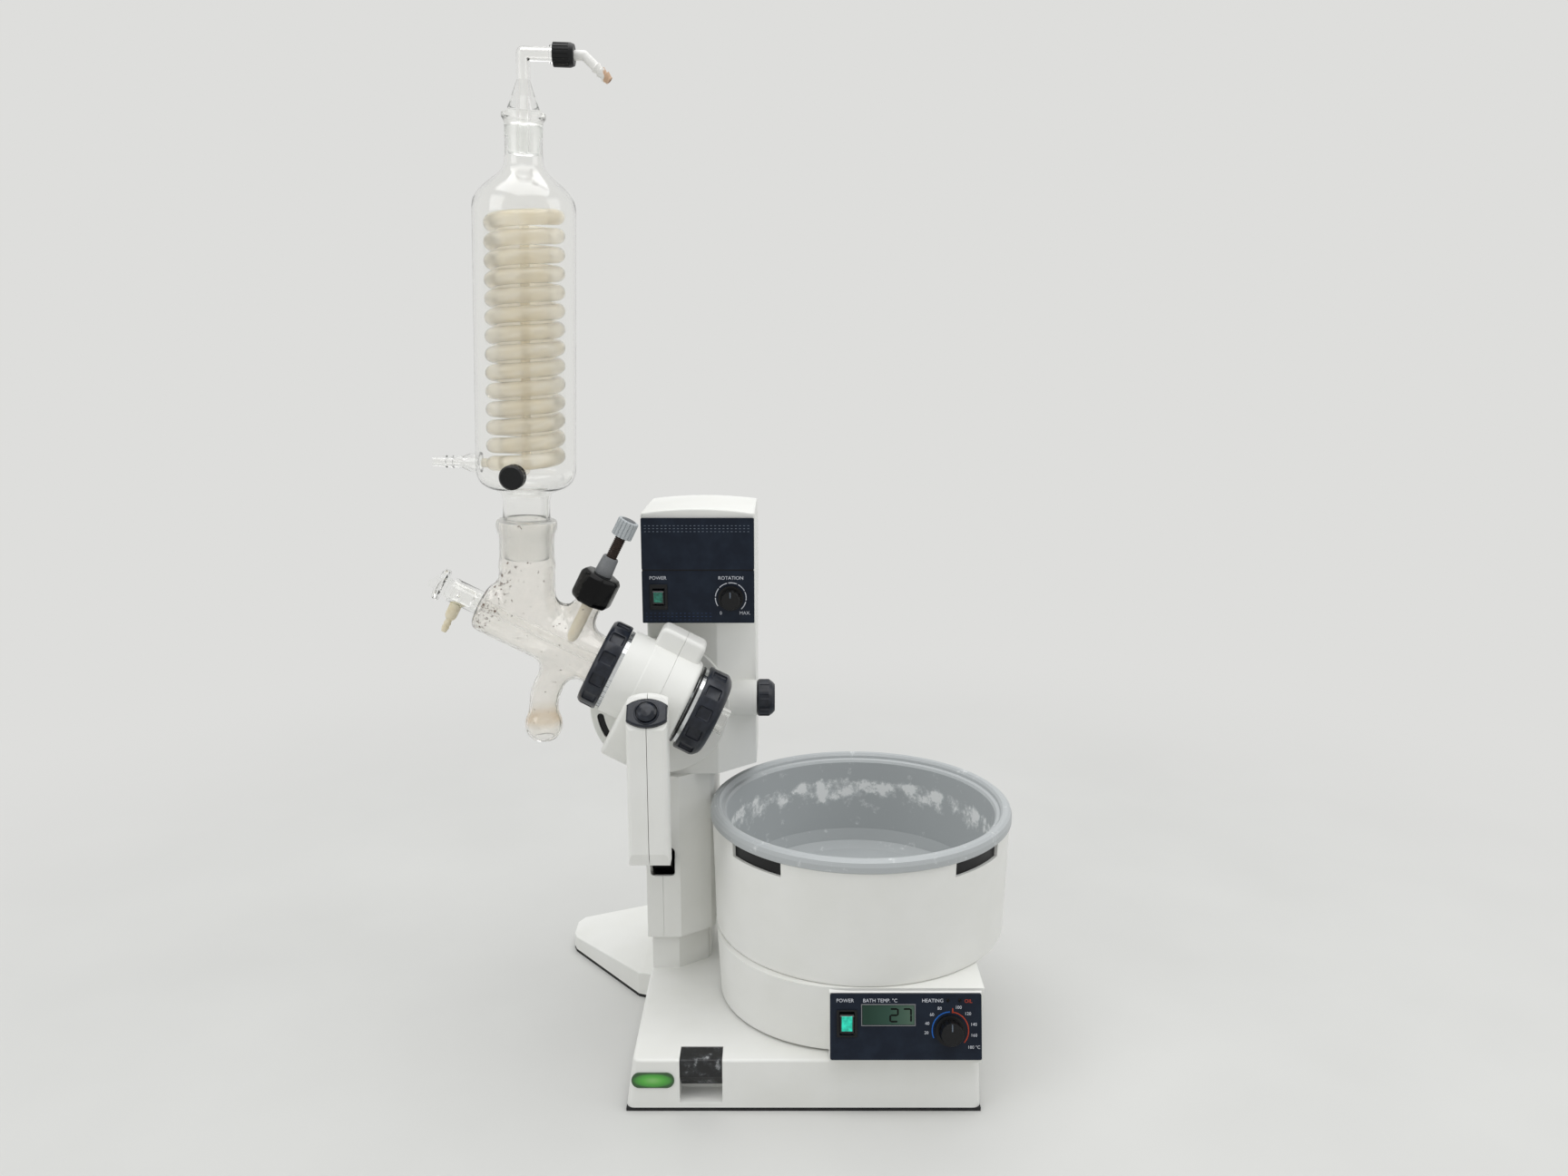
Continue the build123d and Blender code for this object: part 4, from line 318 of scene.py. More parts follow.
# Screen ink on plastic is matt and a little worn.
INKS = [
    ("white_ink", "white_screen_ink", "#BFC3CB", "#D8DBE1"),
    ("red_ink", "red_screen_ink", "#A13B26", "#BF4B31"),
    ("blue_ink", "blue_screen_ink", "#205AAC", "#2E70C8"),
    ("dim_ink", "dim_blue_ink", "#29364F", "#35456A"),
    ("lcd_ink", "lcd_segment", "#060A08", "#0B100D"),
    ("faded_ink", "faded_screen_ink", "#5B6470", "#727B87"),
]
for key, name, dark, pale in INKS:
    FINISHES[key] = mottled(name, 0.6, 1.1, 3.0, [(0.3, dark), (0.6, pale)], Specular_IOR_Level=0.12)
print("plain finishes", len(FINISHES))

# %% [markdown]
# Some surfaces show how they are used: limescale stands in the pan where the water stood, the hose end
# has gone tan, and polished phenolic has handling marks. Those marks depend on the height or the place
# on the piece, so each of these finishes has a function of its own.


# %% Surfaces marked by use
def pan_coating():
    """Grey non-stick coating, with limescale left where the water stood."""
    finish, tree, shader, place = new_finish("grey_bath_coating", 0.4)
    low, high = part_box("bath_pan")
    foot, water, brim = low.z + 34 * MM, high.z - 30 * MM, high.z - 24 * MM
    height = add_node(tree, SPLIT, [place]).outputs["Z"]
    band = add_node(tree, RANGE, [height, foot, water], interpolation_type="SMOOTHSTEP")
    line = add_node(tree, RANGE, [height, water, brim, 1.0, 0.0])
    patch = add_node(tree, NOISE, {"Vector": place, "Scale": per_metre(16), "Detail": 7.0, "Roughness": 0.68})
    zone = add_node(tree, MATH, [band, line], operation="MULTIPLY")
    spread = add_node(tree, MATH, [zone, 0.2], operation="MULTIPLY")
    scale = add_node(tree, MATH, [patch, spread], operation="ADD")
    crust = add_node(tree, BUMP, {"Height": scale, "Strength": 0.25, "Distance": 0.6 * MM})
    stops = [(0.60, "#B1B5B6"), (0.68, "#CBCECE"), (0.74, "#EEEFEE")]
    wire(tree, shader, {"Base Color": add_node(tree, RAMP, [scale], stops), "Normal": crust})
    return finish


def barb_fluoropolymer():
    """White fluoropolymer hose end whose tip has gone tan from hot tubing."""
    finish, tree, shader, place = new_finish("hose_end_ptfe", 0.45)
    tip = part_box("hose_barb")[1].x
    along = add_node(tree, SPLIT, [place]).outputs["X"]
    patches = add_node(tree, NOISE, {"Vector": place, "Scale": per_metre(4), "Detail": 4.0})
    uneven = add_node(tree, MATH, [patches, 4 * MM], operation="MULTIPLY")
    edge = add_node(tree, MATH, [along, uneven], operation="ADD")
    tan = add_node(tree, RANGE, [edge, tip - 5.0 * MM, tip - 4.2 * MM])
    stops = [(0.0, "#EDECE8"), (1.0, "#C9A88B")]
    wire(tree, shader, {"Base Color": add_node(tree, RAMP, [tan], stops)})
    return finish


def gloss_moulding():
    """Polished black phenolic, with faint handling marks."""
    finish, tree, shader, place = new_finish("black_phenolic", 0.14, Base_Color=linear("#070708"),
                                             Specular_IOR_Level=0.16)
    marks = add_node(tree, NOISE, {"Vector": place, "Scale": per_metre(3), "Detail": 5.0})
    dull = add_node(tree, RANGE, [marks, 0.4, 0.8, 0.1, 0.3])
    wire(tree, shader, {"Roughness": dull})
    return finish


def badge_enamel():
    """A domed plate of green resin, pale in the middle and dark at its rim: a painted highlight and painted
    shade of the dome.
    """
    finish, tree, shader, place = new_finish("green_badge_painted_highlight", 0.12, Coat_Weight=0.6)
    centre = add_node(tree, VECTOR, [place, Vector(BADGE_MM) * MM], operation="SUBTRACT")
    size = (2 / (BADGE_W * MM), 0.0, 2 / (BADGE_H * MM))
    scaled = add_node(tree, VECTOR, [centre, size], operation="MULTIPLY")
    out = add_node(tree, VECTOR, [scaled], operation="LENGTH").outputs["Value"]
    # Painted highlight in the middle and painted shade at the rim, over the badge's green.
    stops = [(0.1, "#7CC463"), (0.5, "#4CAE35"), (0.8, "#358C26"), (0.96, "#1C4F19")]
    wire(tree, shader, {"Base Color": add_node(tree, RAMP, [out], stops)})
    return finish


FINISHES["pan"] = pan_coating()
FINISHES["barb"] = barb_fluoropolymer()
FINISHES["gloss_black"] = gloss_moulding()
FINISHES["badge"] = badge_enamel()
print("finishes", len(FINISHES))

# %% [markdown]
# Lit and electronic parts: a reflective liquid-crystal window, two rockers whose middle is a lit green
# lens, and circuit boards. A lens could be a piece of its own, but it is moulded flush into the rocker,
# so a soft-edged box in the shader marks it.


# %% Window, rockers and boards
LENS_EDGE_MM = 0.3


def lcd_window():
    """Grey-green liquid crystal, with a painted reflection of the room that makes it paler towards the right.
    """
    finish, tree, shader, place = new_finish("lcd_window", 0.2, Specular_IOR_Level=0.25)
    low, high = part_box("bath_display")
    across = add_node(tree, SPLIT, [place]).outputs["X"]
    # Painted reflection: the colour runs paler towards the right across the window.
    shade = add_node(tree, RANGE, [across, low.x, high.x])
    stops = [(0.1, "#1C3A2E"), (0.5, "#2C4A3E"), (0.9, "#4A6354")]
    wire(tree, shader, {"Base Color": add_node(tree, RAMP, [shade], stops)})
    return finish


def circuit_board():
    """Glass-fibre board under green solder mask, with paler tracks."""
    finish, tree, shader, place = new_finish("green_circuit_board", 0.5)
    tracks = add_node(tree, "ShaderNodeTexVoronoi", {"Vector": place, "Scale": per_metre(4.0)})
    stops = [(0.2, "#17492B"), (0.6, "#256B40")]
    wire(tree, shader, {"Base Color": add_node(tree, RAMP, [tracks.outputs["Distance"]], stops)})
    return finish


def rocker_lens(name, face, centre, half_height, half_width, deep, bright, glow_share):
    """A moulded rocker: green lit lens in the middle, black ends."""
    finish, tree, shader, place = new_finish(name, 0.22)
    middle = face @ (Vector((*centre, 0)) * MM)
    from_centre = add_node(tree, VECTOR, [place, middle], operation="SUBTRACT")
    up = face.to_3x3() @ Vector((0, 1, 0))
    height = add_node(tree, VECTOR, [from_centre, up], operation="DOT_PRODUCT").outputs["Value"]
    aside = add_node(tree, SPLIT, [from_centre]).outputs["X"]
    inside = []
    for value, half in ((height, half_height), (aside, half_width)):
        off = add_node(tree, MATH, [value], operation="ABSOLUTE")
        edge = add_node(tree, RANGE, [off, half * MM, (half + LENS_EDGE_MM) * MM, 1.0, 0.0])
        inside.append(edge)
    lens = add_node(tree, MATH, inside, operation="MULTIPLY")
    glow = add_node(tree, NOISE, {"Vector": place, "Scale": per_metre(5), "Detail": 2.0})
    green = add_node(tree, RAMP, [glow], [(0.35, deep), (0.65, bright)])
    colour = add_node(tree, MIX, {0: lens, 6: linear("#141517"), 7: green}, data_type="RGBA").outputs[2]
    strength = add_node(tree, MATH, [lens, glow_share], operation="MULTIPLY")
    wire(tree, shader, {"Base Color": colour, "Emission Color": colour, "Emission Strength": strength})
    return finish


FINISHES["lcd"] = lcd_window()
FINISHES["board"] = circuit_board()
FINISHES["tower_rocker"] = rocker_lens("lit_green_rocker_tower", TOWER_FACE, TOWER_ROCKER, 4.6, 3.9,
                                       "#083F33", "#2A8F78", 0.12)
FINISHES["bath_rocker"] = rocker_lens("lit_green_rocker_bath", BATH_FACE, BATH_ROCKER, 6.4, 4.4,
                                      "#0C9C84", "#20CDB0", 0.4)
print("finishes", len(FINISHES))

# %% [markdown]
# Laboratory glass that has been in use is seldom water-clear. The vapour manifold carries a milky,
# warm film and dark specks, and its ground socket is frosted. The film is drawn as a lower share of
# transmission, so the glass stays glass. Lamps shine through it, so the pieces inside aren't dark.

# %% Glass in use
GLASS_IOR = 1.47
GROUND_BANDS = [(398, 402, 426, 429), (58, 60, 91, 93)]


def let_lamps_through(finish, tree, shader):
    """Shadow rays pass the glass with a small loss, as light from a window does."""
    shadow = add_node(tree, "ShaderNodeLightPath").outputs["Is Shadow Ray"]
    clear = add_node(tree, "ShaderNodeBsdfTransparent", {"Color": linear("#E4E8E6")})
    mix = add_node(tree, MIX_SHADER, [shadow, shader, clear])
    wire(tree, tree.nodes["Material Output"], {"Surface": mix})
    return finish


def distance_along(tree, place, frame):
    """Distance along a frame's Z axis from its foot, in metres."""
    offset = add_node(tree, VECTOR, [place, frame.translation], operation="SUBTRACT")
    axis = frame.to_3x3() @ Vector((0, 0, 1))
    return add_node(tree, VECTOR, [offset, axis], operation="DOT_PRODUCT").outputs["Value"]


def condenser_glass():
    """Drawn borosilicate tube: clear, with faint wiping marks, and frosted where it is ground to fit."""
    finish, tree, shader, place = new_finish("drawn_borosilicate", 0.03, Base_Color=linear("#FEFEFD"),
                                             IOR=GLASS_IOR)
    rise = distance_along(tree, place, CONDENSER)
    bands = []
    for start, full, fade, end in GROUND_BANDS:
        enter = add_node(tree, RANGE, [rise, start * MM, full * MM])
        leave = add_node(tree, RANGE, [rise, fade * MM, end * MM, 1.0, 0.0])
        bands.append(add_node(tree, MATH, [enter, leave], operation="MULTIPLY"))
    ground = add_node(tree, MATH, bands, operation="MAXIMUM")
    wipe = add_node(tree, NOISE, {"Vector": place, "Scale": per_metre(18), "Detail": 5.0})
    dull = add_node(tree, RANGE, [wipe, 0.45, 0.8, 0.015, 0.09])
    frost = add_node(tree, MATH, [ground, 0.14], operation="MULTIPLY")
    rough = add_node(tree, MATH, [dull, frost], operation="ADD")
    clear = add_node(tree, RANGE, {"Value": ground, "To Min": 1.0, "To Max": 0.97})
    wire(tree, shader, {"Roughness": rough, "Transmission Weight": clear})
    return let_lamps_through(finish, tree, shader)


def manifold_glass():
    """Blown glass with a thin milky film, a ground socket, and brown specks along its left side."""
    finish, tree, shader, place = new_finish("blown_glass_with_film", 0.05, IOR=GLASS_IOR)
    rise = distance_along(tree, place, CONDENSER)
    ground = add_node(tree, RANGE, [rise, 57 * MM, 60 * MM])
    rough = add_node(tree, RANGE, {"Value": ground, "To Min": 0.05, "To Max": 0.16})
    film = add_node(tree, NOISE, {"Vector": place, "Scale": per_metre(30), "Detail": 5.0, "Roughness": 0.55})
    clear = add_node(tree, RANGE, [film, 0.3, 0.7, 0.84, 0.95])
    along = distance_along(tree, place, SHAFT)
    left = add_node(tree, RANGE, [along, -147 * MM, -160 * MM])
    below = add_node(tree, RANGE, [rise, 56 * MM, 50 * MM])
    zone = add_node(tree, MATH, [left, below], operation="MULTIPLY")
    more = add_node(tree, MATH, [zone, 0.09], operation="MULTIPLY")
    speck = add_node(tree, NOISE, {"Vector": place, "Scale": per_metre(4.6), "Detail": 4.0, "Roughness": 0.6})
    spots = add_node(tree, MATH, [speck, more], operation="ADD")
    dark = add_node(tree, RANGE, [spots, 0.69, 0.72])
    unspotted = add_node(tree, MATH, [1.0, dark], operation="SUBTRACT")
    share = add_node(tree, MATH, [clear, unspotted], operation="MULTIPLY")
    height = add_node(tree, SPLIT, [place]).outputs["Z"]
    outlet = add_node(tree, RANGE, [height, 312 * MM, 342 * MM])
    amber = [(0.05, "#FEFCF9"), (0.3, "#F2E6D6"), (0.45, "#F5ECDF"), (0.75, "#FEFCF9")]
    warm = add_node(tree, RAMP, [outlet], amber)
    stained = add_node(tree, MIX, {0: dark, 6: warm, 7: linear("#5A3E28")}, data_type="RGBA").outputs[2]
    wire(tree, shader, {"Base Color": stained, "Roughness": rough, "Transmission Weight": share})
    return let_lamps_through(finish, tree, shader)


FINISHES["glass"] = condenser_glass()
FINISHES["milky"] = manifold_glass()
print("finishes", len(FINISHES))

# %% [markdown]
# Every node of the CAD model now gets its finish. A table from finish to nodes is easier to check
# against the photograph than a line for each node.

# %% Give every node its finish
NODE_FINISH = {
    "casting": "base_casting column_skirt bath_shell bath_lower tilt_flange",
    "housing": "lower_cover_left lower_cover_right upper_housing lever_grip drive_cover_left "
               "drive_cover_right",
    "navy": "upper_panel control_panel bath_panel",
    "nut": "clamp_knob condenser_nut flask_nut",
    "thumb": "lever_cap thumb_button",
    "black": "lever_arm bath_grips speed_knob bath_knob condenser_cap vacuum_cap valve_nut guide_bushes",
    "grey": "valve_knob valve_collar",
    "brown": "valve_spindle",
    "ptfe": "shaft_seal",
    "barb": "hose_barb",
    "rubber": "base_edging drive_belt",
    "steel": "gas_cylinder gas_rod clamp_screw drive_motor shaft_bearings hollow_shaft bath_heater "
             "power_supply",
    "chrome": "thread_ring nut_ring",
    "aluminium": "guide_profile motor_pulley",
    "pan": "bath_pan",
    "glass": "feed_tube condenser_jacket vacuum_elbow vapour_duct stopcock_plug",
    "milky": "glass_manifold",
    "coil": "cooling_coil",
    "tower_rocker": "power_switch",
    "bath_rocker": "bath_switch",
    "lcd": "bath_display",
    "board": "control_board bath_board",
    "lock": "bath_lock",
}
dressed = 0
for finish_name, names in NODE_FINISH.items():
    for node_name in names.split():
        slots = NODES[node_name].data.materials
        slots.clear()
        slots.append(FINISHES[finish_name])
        dressed += 1
print("nodes dressed", dressed)

# %% [markdown]
# ## Modelling helpers
# Every piece is picked, placed, copied and finished in the same way. Operators act on what is selected,
# so each helper selects its piece first, and a placed piece keeps its place in its mesh.


# %% Selecting, placing and copying
def deselect():
    bpy.ops.object.select_all(action="DESELECT")


def pick(*pieces):
    """Selects these pieces alone, the first one active."""
    deselect()
    for piece in pieces:
        piece.select_set(True)
    bpy.context.view_layer.objects.active = pieces[0]


def apply_place():
    """Moves the active piece's place, turn and scale into its mesh."""
    bpy.ops.object.transform_apply(location=True, rotation=True, scale=True)


def lay(piece, pose):
    """Moves a piece into a frame, with the place in its mesh."""
    pick(piece)
    piece.matrix_world = pose
    apply_place()
    return piece


def join(name, pieces):
    pick(*pieces)
    bpy.ops.object.join()
    pieces[0].name = name
    return pieces[0]


def copy_of(piece):
    """A copy with its own mesh."""
    pick(piece)
    bpy.ops.object.duplicate(linked=False)
    return bpy.context.object


def copies_round(piece, count):
    """Copies a piece round the Z axis and joins the ring."""
    ring = [piece]
    for index in range(1, count):
        ring.append(copy_of(piece))
        ring[-1].rotation_euler.z = 2 * math.pi * index / count
    return join(piece.name, ring)


def apply_modifier(piece, kind, **settings):
    pick(piece)
    modifier = piece.modifiers.new(kind.lower(), kind)
    for name, value in settings.items():
        setattr(modifier, name, value)
    bpy.ops.object.modifier_apply(modifier=modifier.name)
    return piece


def carve(piece, cutter):
    """Cuts one closed piece out of another."""
    apply_modifier(piece, "BOOLEAN", object=cutter, operation="DIFFERENCE", solver="EXACT")
    bpy.data.objects.remove(cutter)
    return piece


def settle(piece, pose, finish, body, slot, *nodes, smooth_deg=35):
    """Places a finished piece, gives it its finish and its body, and hides the nodes that it stands for."""
    lay(piece, pose)
    bpy.ops.object.shade_smooth_by_angle(angle=math.radians(smooth_deg))
    piece.data.materials.clear()
    piece.data.materials.append(FINISHES[finish])
    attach(piece, body)
    if nodes:
        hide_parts(*nodes)
    print(piece.name, len(piece.data.polygons), "faces")
    return piece


# %% [markdown]
# Most small pieces of this machine are turned, moulded round an axis or printed on a face. Each starts
# as a line of vertices: we extrude one vertex point by point, which is drawing a profile by hand, and
# then spin it. A soft profile passes through a curve first, so that blown glass gets no hard corners.


# %% Drawing and turning
def begin_line(name, points):
    """Starts a piece as a line through points in millimetres, and stays in edit mode."""
    deselect()
    bpy.ops.mesh.primitive_plane_add(size=MM)
    piece = bpy.context.object
    piece.name = name
    bpy.ops.object.mode_set(mode="EDIT")
    bpy.ops.mesh.merge(type="CENTER")
    bpy.ops.transform.translate(value=Vector(points[0]) * MM)
    for start, end in zip(points, points[1:]):
        step = (Vector(end) - Vector(start)) * MM
        bpy.ops.mesh.extrude_region_move(TRANSFORM_OT_translate={"value": step})
    return piece


def begin_plate(name, width, height):
    """Starts a piece as a flat rectangle round the origin, and stays in edit mode."""
    deselect()
    bpy.ops.mesh.primitive_plane_add(size=1)
    piece = bpy.context.object
    piece.name = name
    piece.scale = (width * MM, height * MM, 1)
    apply_place()
    bpy.ops.object.mode_set(mode="EDIT")
    return piece


def draw_out(depth):
    """Draws the whole flat piece out along Z."""
    bpy.ops.mesh.select_all(action="SELECT")
    bpy.ops.mesh.extrude_region_move(TRANSFORM_OT_translate={"value": (0, 0, depth * MM)})


def close_seams():
    """Merges doubles, turns the faces outwards and leaves edit mode."""
    bpy.ops.mesh.select_all(action="SELECT")
    bpy.ops.mesh.remove_doubles(threshold=0.005 * MM)
    bpy.ops.mesh.normals_make_consistent(inside=False)
    bpy.ops.object.mode_set(mode="OBJECT")
    return bpy.context.object


def filled(name, outline, depth):
    """A flat piece with this outline, drawn out to its depth."""
    begin_line(name, outline)
    bpy.ops.mesh.select_all(action="SELECT")
    bpy.ops.mesh.edge_face_add()
    draw_out(depth)
    return close_seams()


def as_curve(fineness):
    """Makes the line a smooth curve that the points guide."""
    bpy.ops.object.mode_set(mode="OBJECT")
    bpy.ops.object.convert(target="CURVE")
    spline = bpy.context.object.data.splines[0]
    spline.type = "NURBS"
    spline.order_u = 3
    spline.use_endpoint_u = True
    spline.resolution_u = fineness
    return bpy.context.object


def lathe(name, profile, steps=96, soft=False):
    """Turns a profile of (radius, height) points round the Z axis."""
    begin_line(name, [(radius, 0, height) for radius, height in profile])
    if soft:
        as_curve(5)
        bpy.ops.object.convert(target="MESH")
        bpy.ops.object.mode_set(mode="EDIT")
    bpy.ops.mesh.select_all(action="SELECT")
    bpy.ops.mesh.spin(steps=steps, angle=2 * math.pi, center=(0, 0, 0), axis=(0, 0, -1))
    return close_seams()


def rod(name, points, radius):
    """A round rod along a smooth line."""
    begin_line(name, points)
    curve = as_curve(8)
    curve.data.bevel_depth = radius * MM
    curve.data.bevel_resolution = 8
    curve.data.use_fill_caps = True
    bpy.ops.object.convert(target="MESH")
    bpy.ops.object.mode_set(mode="EDIT")
    return close_seams()


def round_point(radius, angle_deg, centre=(0.0, 0.0)):
    """A point on a circle, its angle counted from the right over the top."""
    turn = math.radians(angle_deg)
    return (centre[0] + radius * math.cos(turn), centre[1] + radius * math.sin(turn), 0)


print("modelling helpers ready")

# %% [markdown]
# ## Prints on the panels
# Words, scales and dashes are screen-printed. They could be painted with an image, but an image blurs
# close up. So a text object becomes a mesh a few hundredths of a millimetre thick, arcs are short lines
# spun part of a turn, and the rows of dashes are one dash repeated by two Array modifiers.

# %% Words, arcs and dashes
INK_T = 0.06
CAP_SHARE = 0.691
ARC_STEP_DEG = 5
DASH_L, DASH_W = 1.7, 0.5
CORNER_SHARE = 0.2


def word(text, x, y, height, align="LEFT"):
    """A printed word with its capitals height mm tall, on a face that looks along Z."""
    deselect()
    bpy.ops.object.text_add(location=(x * MM, y * MM, 0))
    label = bpy.context.object
    label.data.body = text
    label.data.size = height * MM / CAP_SHARE
    label.data.align_x = align
    label.data.align_y = "CENTER"
    label.data.extrude = INK_T * MM
    label.data.resolution_u = 3
    bpy.ops.object.convert(target="MESH")
    apply_place()
    return label


def arc(name, radius, width, start_deg, end_deg, centre=(0, 0)):
    """A flat printed arc between two angles, counted from the right over the top."""
    begin_line(name, [round_point(r, start_deg) for r in (radius - width / 2, radius + width / 2)])
    bpy.ops.mesh.select_all(action="SELECT")
    span = end_deg - start_deg
    steps = max(3, int(abs(span) / ARC_STEP_DEG))
    bpy.ops.mesh.spin(steps=steps, angle=math.radians(span), center=(0, 0, 0), axis=(0, 0, -1))
    piece = close_seams()
    apply_modifier(piece, "SOLIDIFY", thickness=2 * INK_T * MM, offset=0.0)
    return lay(piece, frame_at((*centre, 0)))


def bar(name, x0, x1, y0, y1, thickness=2 * INK_T):
    """A flat bar with slightly rounded corners, half its thickness above the face."""
    begin_plate(name, x1 - x0, y1 - y0)
    bpy.ops.mesh.bevel(offset=CORNER_SHARE * min(x1 - x0, y1 - y0) * MM, segments=2, affect="VERTICES")
    draw_out(thickness)
    return lay(close_seams(), frame_at(((x0 + x1) / 2, (y0 + y1) / 2, -thickness / 2)))


def dashes(name, x0, y0, columns, pitch, rows, row_pitch):
    """A field of short dashes, from its upper left corner."""
    field = bar(name, x0, x0 + DASH_L, y0 - DASH_W / 2, y0 + DASH_W / 2)
    for count, step in ((columns, (pitch * MM, 0, 0)), (rows, (0, -row_pitch * MM, 0))):
        apply_modifier(field, "ARRAY", count=count, use_relative_offset=False, use_constant_offset=True,
                       constant_offset_displace=step)
    return field


print("print helpers ready")

# %% [markdown]
# The bath's panel: a power switch, a small display and a temperature dial with a blue range for water
# and a red range for oil. The numbers are set out by angle, as on the real dial.

# %% Bath panel print
DIAL = (38.0, -3.0)
DIAL_R, DIAL_LINE_W, NUMBER_R = 15.6, 0.9, 20.6
HEADINGS = {"POWER": -59.6, "BATH TEMP. °C": -36.8, "HEATING": 13.7}
HEADING_Y, HEADING_H, NUMBER_H = 22.0, 3.0, 2.6
DIAL_NUMBERS = {"20": 185.6, "40": 163.6, "60": 139.8, "80": 116.0,
                "100": 70.0, "120": 43.0, "140": 14.0, "160": -11.6}
WATER_DEG, OIL_DEG = (91, 204), (-41, 85)

prints = [word(text, x, HEADING_Y, HEADING_H) for text, x in HEADINGS.items()]
for text, angle in DIAL_NUMBERS.items():
    x, y, _ = round_point(NUMBER_R, angle, DIAL)
    prints.append(word(text, x, y, NUMBER_H, "CENTER"))
prints.append(word("180 °C", DIAL[0] + 14.6, DIAL[1] - 14.2, NUMBER_H))
settle(join("bath_panel_words", prints), BATH_FACE, "white_ink", "bath", "white_paint")
water = arc("bath_dial_water_range", DIAL_R, DIAL_LINE_W, *WATER_DEG, DIAL)
settle(water, BATH_FACE, "blue_ink", "bath", "navy_plastic")
oil = [arc("oil_arc", DIAL_R, DIAL_LINE_W, *OIL_DEG, DIAL),
       bar("oil_tick", 39.6, 40.6, DIAL[1] + 14.6, DIAL[1] + 18.8), word("OIL", 50.2, 21.6, HEADING_H)]
settle(join("bath_dial_oil_range", oil), BATH_FACE, "red_ink", "bath", "brown_plastic")

# %% [markdown]
# The display shows two seven-segment digits. A font would give round figures, so one upright and one
# level segment are drawn as pointed outlines, filled and given thickness, and copied into place.

# %% Display digits
DIGIT_W, DIGIT_H, SEGMENT_W, SEGMENT_GAP = 6.6, 12.2, 1.5, 0.4
DIGIT_LOW, DIGIT_EDGE, LCD_DEPTH = 3.6, 0.8, 0.2
SEGMENTS = {"top": (0.5, 1.0, 0), "middle": (0.5, 0.5, 0), "bottom": (0.5, 0.0, 0),
            "upper_right": (1.0, 0.75, 1), "lower_right": (1.0, 0.25, 1), "lower_left": (0.0, 0.25, 1)}
DIGITS = [(-13.4, "top upper_right middle lower_left bottom"), (-2.2, "top upper_right lower_right")]


def segment(length):
    half, tip = length / 2, SEGMENT_W / 2
    outline = [(-half, 0, 0), (-half + tip, tip, 0), (half - tip, tip, 0),
               (half, 0, 0), (half - tip, -tip, 0), (-half + tip, -tip, 0)]
    return filled("segment", outline, INK_T)


level_and_upright = [segment(DIGIT_W - SEGMENT_GAP), segment(DIGIT_H / 2 - SEGMENT_GAP)]
strokes = []
for left, names in DIGITS:
    for name in names.split():
        across, up, upright = SEGMENTS[name]
        spot = (left + across * DIGIT_W, DIGIT_LOW + DIGIT_EDGE + up * (DIGIT_H - 2 * DIGIT_EDGE), 0)
        strokes.append(lay(copy_of(level_and_upright[upright]), frame_at(spot, 90.0 * upright, "Z")))
for master in level_and_upright:
    bpy.data.objects.remove(master)
digits = join("bath_display_digits", strokes)
settle(digits, BATH_FACE @ frame_at((0, 0, -LCD_DEPTH)), "lcd_ink", "bath", "display")

# %% [markdown]
# Both power switches sit in black bezels, and the display in a grey frame. A bezel could be cut with a
# Boolean, but a plate whose middle is inset and removed keeps clean faces. It is then drawn out to its
# height and bevelled. The two heating lamps are small turned domes.

# %% Switch bezels and indicator lamps
BEZEL_INSET, BEZEL_EDGE = 1.0, 0.35
ROCKER_CLEAR = 0.5
BATH_ROCKER_SIZE, TOWER_ROCKER_SIZE = (12, 19), (10, 15)
TOWER_BEZEL = (-36.0, 428.3)
DISPLAY = (-15.0, 10.0)
LAMP_X, LAMP_Y = (36.0, 46.2), 22.4
LAMP_PROFILE = [(0, 1.0), (0.9, 0.85), (1.5, 0.35), (1.6, -0.2), (0, -0.2)]


def bezel(name, width, height, opening, clear, proud):
    piece = begin_plate(name, width, height)
    bpy.ops.mesh.inset(thickness=BEZEL_INSET * MM)
    open_w, open_h = (side + 2 * clear for side in opening)
    inner_w, inner_h = width - 2 * BEZEL_INSET, height - 2 * BEZEL_INSET
    bpy.ops.transform.resize(value=(open_w / inner_w, open_h / inner_h, 1))
    bpy.ops.mesh.delete(type="FACE")
    draw_out(proud)
    close_seams()
    return apply_modifier(piece, "BEVEL", width=BEZEL_EDGE * MM, segments=3, limit_method="ANGLE")


settle(bezel("bath_switch_bezel", 17.6, 22.6, BATH_ROCKER_SIZE, ROCKER_CLEAR, 1.4),
       BATH_FACE @ frame_at((*BATH_ROCKER, 0)), "black", "bath", "black_plastic")
settle(bezel("power_switch_bezel", 16.2, 23.4, TOWER_ROCKER_SIZE, ROCKER_CLEAR, 1.2),
       TOWER_FACE @ frame_at((*TOWER_BEZEL, 0)), "black", "tower", "black_plastic")
settle(bezel("display_frame", 46.6, 18.6, (45, 17), 0, 0.5),
       BATH_FACE @ frame_at((*DISPLAY, 0)), "mid_grey", "bath", "grey_plastic")
first_lamp = lathe("heating_lamp_1", LAMP_PROFILE, 24)
second_lamp = copy_of(first_lamp)
second_lamp.name = "heating_lamp_2"
for piece, x in zip((first_lamp, second_lamp), LAMP_X):
    settle(piece, BATH_FACE @ frame_at((x, LAMP_Y, 0)), "gloss_black", "bath", "black_plastic")

# %% [markdown]
# The tower's two panels: rows of fine dashes, the words of the two controls and a scale of seven
# silver steps round the speed knob. One step is drawn, and the others are copies turned round the knob.

# %% Tower panel print
KNOB = (29.6, 427.4)
DASHES_LEFT = -48.0
LABEL_Y, LABEL_H, END_Y, END_H = 445.7, 3.1, 413.2, 3.0
SCALE_R, SCALE_W, SCALE_GAP_DEG = 14.0, 0.8, 5.0
SCALE_START, SCALE_END, SCALE_STEPS = -50.0, 215.0, 7

